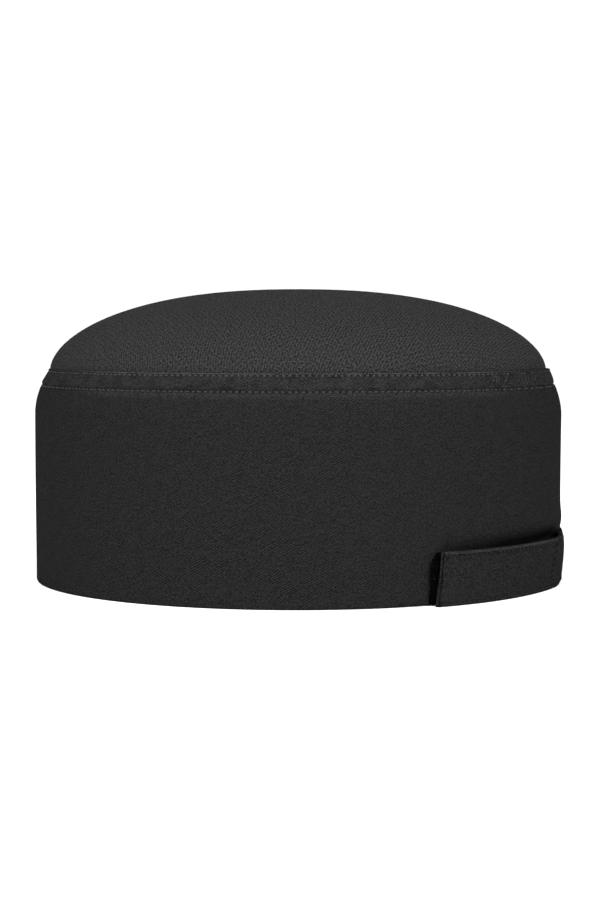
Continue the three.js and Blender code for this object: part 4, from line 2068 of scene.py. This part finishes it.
@dataclass(frozen=True)
class Softbox:
    """A soft rectangular light that looks at the cap's middle.

    Attributes:
        name: The light's name.
        place: Where it hangs, in metres.
        size: Its width and height, in metres.
        power: Its power in watts.
        target: The cap's middle, in metres.
    """

    name: str
    place: Triple
    size: Pair
    power: float
    target: Triple = (0.0, 0.0, 0.05)

    def hang(self) -> None:
        """Hangs the light in the scene."""
        light = bpy.data.lights.new(self.name, "AREA")
        light.shape = "RECTANGLE"
        light.size, light.size_y = self.size
        light.energy = self.power
        holder = bpy.data.objects.new(self.name, light)
        holder.location = self.place
        towards = Vector(self.target) - holder.location
        holder.rotation_euler = towards.to_track_quat("-Z", "Y").to_euler()
        bpy.context.scene.collection.objects.link(holder)


@dataclass
class Studio:
    """A pale floor, white surroundings, soft lights and the camera.

    Attributes:
        floor_half: Half the side of the floor, in metres.
        floor_colour: The floor card's colour.
        floor_roughness: How matt the card is.
        floor_mirror: Its specular level.
        surround: How bright the white surroundings are.
        softboxes: The lights.
        distance: From the cap's middle to the camera, in metres.
        height: The camera's height, in metres.
        aim_x: Where the camera looks, sideways, in metres.
        pitch: How far it looks down, in degrees.
        lens: Its focal length in millimetres.
        sensor: The width of its sensor in millimetres.
        near: The nearest that it sees, in metres.
    """

    floor_half: float = 6.0
    floor_colour: str = "#f8f8f8"
    floor_roughness: float = 0.9
    floor_mirror: float = 0.1
    surround: float = 1.05
    softboxes: tuple[Softbox, ...] = (
        Softbox("front_softbox", (0.0, -0.7, 1.45), (1.2, 0.8), 12.0),
        Softbox("fill_softbox", (0.0, -1.7, 0.45), (1.2, 0.5), 2.0),
        Softbox("left_softbox", (-0.82, -1.36, 0.9), (0.4, 0.7), 22.0),
        Softbox("right_softbox", (0.82, -1.36, 0.9), (0.4, 0.7), 21.0),
    )
    distance: float = 0.67513
    height: float = 0.09137
    aim_x: float = 0.00074
    pitch: float = 3.757
    lens: float = 72.615
    sensor: float = 36.0
    near: float = 0.01

    def build(self) -> None:
        """Makes the floor, the surroundings, the lights and the camera."""
        self.lay_floor()
        self.light_surroundings()
        for softbox in self.softboxes:
            softbox.hang()
        self.place_camera()

    def lay_floor(self) -> None:
        """Lays the plain pale floor."""
        half = self.floor_half
        mesh = bpy.data.meshes.new("studio_floor")
        corners = [(-half, -half, 0.0), (half, -half, 0.0), (half, half, 0.0), (-half, half, 0.0)]
        mesh.from_pydata(corners, [], [(0, 1, 2, 3)])
        floor = bpy.data.objects.new("studio_floor", mesh)
        bpy.context.scene.collection.objects.link(floor)
        material = new_material("matt white studio card")
        tree = material.node_tree
        shader = add_node(
            tree, "ShaderNodeBsdfPrincipled", None,
            {
                "Base Color": linear(self.floor_colour),
                "Roughness": self.floor_roughness,
                "Specular IOR Level": self.floor_mirror,
            },
        )
        add_node(tree, "ShaderNodeOutputMaterial", None, {"Surface": shader.outputs["BSDF"]})
        mesh.materials.append(material)

    def light_surroundings(self) -> None:
        """Lights the surroundings an even white."""
        world = bpy.data.worlds.new("white_studio")
        world.use_nodes = True
        background = world.node_tree.nodes["Background"]
        background.inputs["Color"].default_value = (1.0, 1.0, 1.0, 1.0)
        background.inputs["Strength"].default_value = self.surround
        scene = bpy.context.scene
        scene.world = world
        scene.view_settings.view_transform = "Standard"
        scene.view_settings.look = "None"

    def place_camera(self) -> None:
        """Sets up the camera at the picture's angle."""
        data = bpy.data.cameras.new("front_camera")
        data.lens = self.lens
        data.sensor_width = self.sensor
        data.clip_start = self.near
        camera = bpy.data.objects.new("front_camera", data)
        camera.location = (0.0, -self.distance, self.height)
        drop = self.distance * np.tan(np.radians(self.pitch))
        towards = Vector((self.aim_x, 0.0, self.height - drop)) - camera.location
        camera.rotation_euler = towards.to_track_quat("-Z", "Y").to_euler()
        bpy.context.scene.collection.objects.link(camera)
        bpy.context.scene.camera = camera


def main() -> None:
    """Builds the cap and its studio, in order."""
    logging.basicConfig(level=logging.INFO, format="%(name)s: %(message)s")
    form = CapForm.from_frame()
    twill = WovenTwill("woven_polycotton_twill", "#080808", "#222222").make()
    # The strip's twill has lighter ribs than the band's, painted light for the strip facing a little upwards
    strip_twill = WovenTwill(
        "woven_strip_twill", "#080808", "#282828", rib_pitch=0.8, rib_angle=46.0, rib_weight=0.38,
        mottle=0.55, contrast=1.8,
    ).make()
    tab_twill = WovenTwill("woven_tab_twill", "#050505", "#242424", nep=1.0, contrast=2.0).make()
    mesh_knit = KnittedMesh("warp_knitted_mesh", "#070707", "#101010", "#303030").make()
    # The thread's plies are painted lighter than the cloth, partly as a painted highlight on the raised
    # stitches
    thread = SewingThread("spun_polyester_thread", "#161616", "#3e3e3e").make()
    # The tab's thread is the same thread painted darker, as painted shade where it sinks into its groove
    shaded_tab_thread = SewingThread("polyester_thread_painted_shade", "#0b0b0b", "#202020").make()
    napped = NappedTape("napped_loop_tape", "#030303", "#3c3c3c", tuft=0.5, roughness=0.9).make()
    hooked = NappedTape("moulded_hook_tape", "#080808", "#202020", tuft=0.35, roughness=0.6).make()
    tapes = (
        TouchTape(
            "tab_loop_tape", napped, Slot.LOOP_TAPE, "loop_patch",
            angles=(18.0, 63.4), heights=(0.8, 17.9), out=0.3, corner=1.5,
        ),
        TouchTape(
            "tab_hook_tape", hooked, Slot.HOOK_TAPE, "hook_patch",
            angles=(20.0, 60.8), heights=(1.6, 15.9), out=1.5,
        ),
    )
    Band(form, twill, thread).build()
    SeamStrip(form, strip_twill, thread).build()
    MeshCrown(form, mesh_knit).build()
    AdjusterTab(form, tab_twill, shaded_tab_thread, tapes).build()
    Studio().build()


if __name__ == "__main__":
    main()
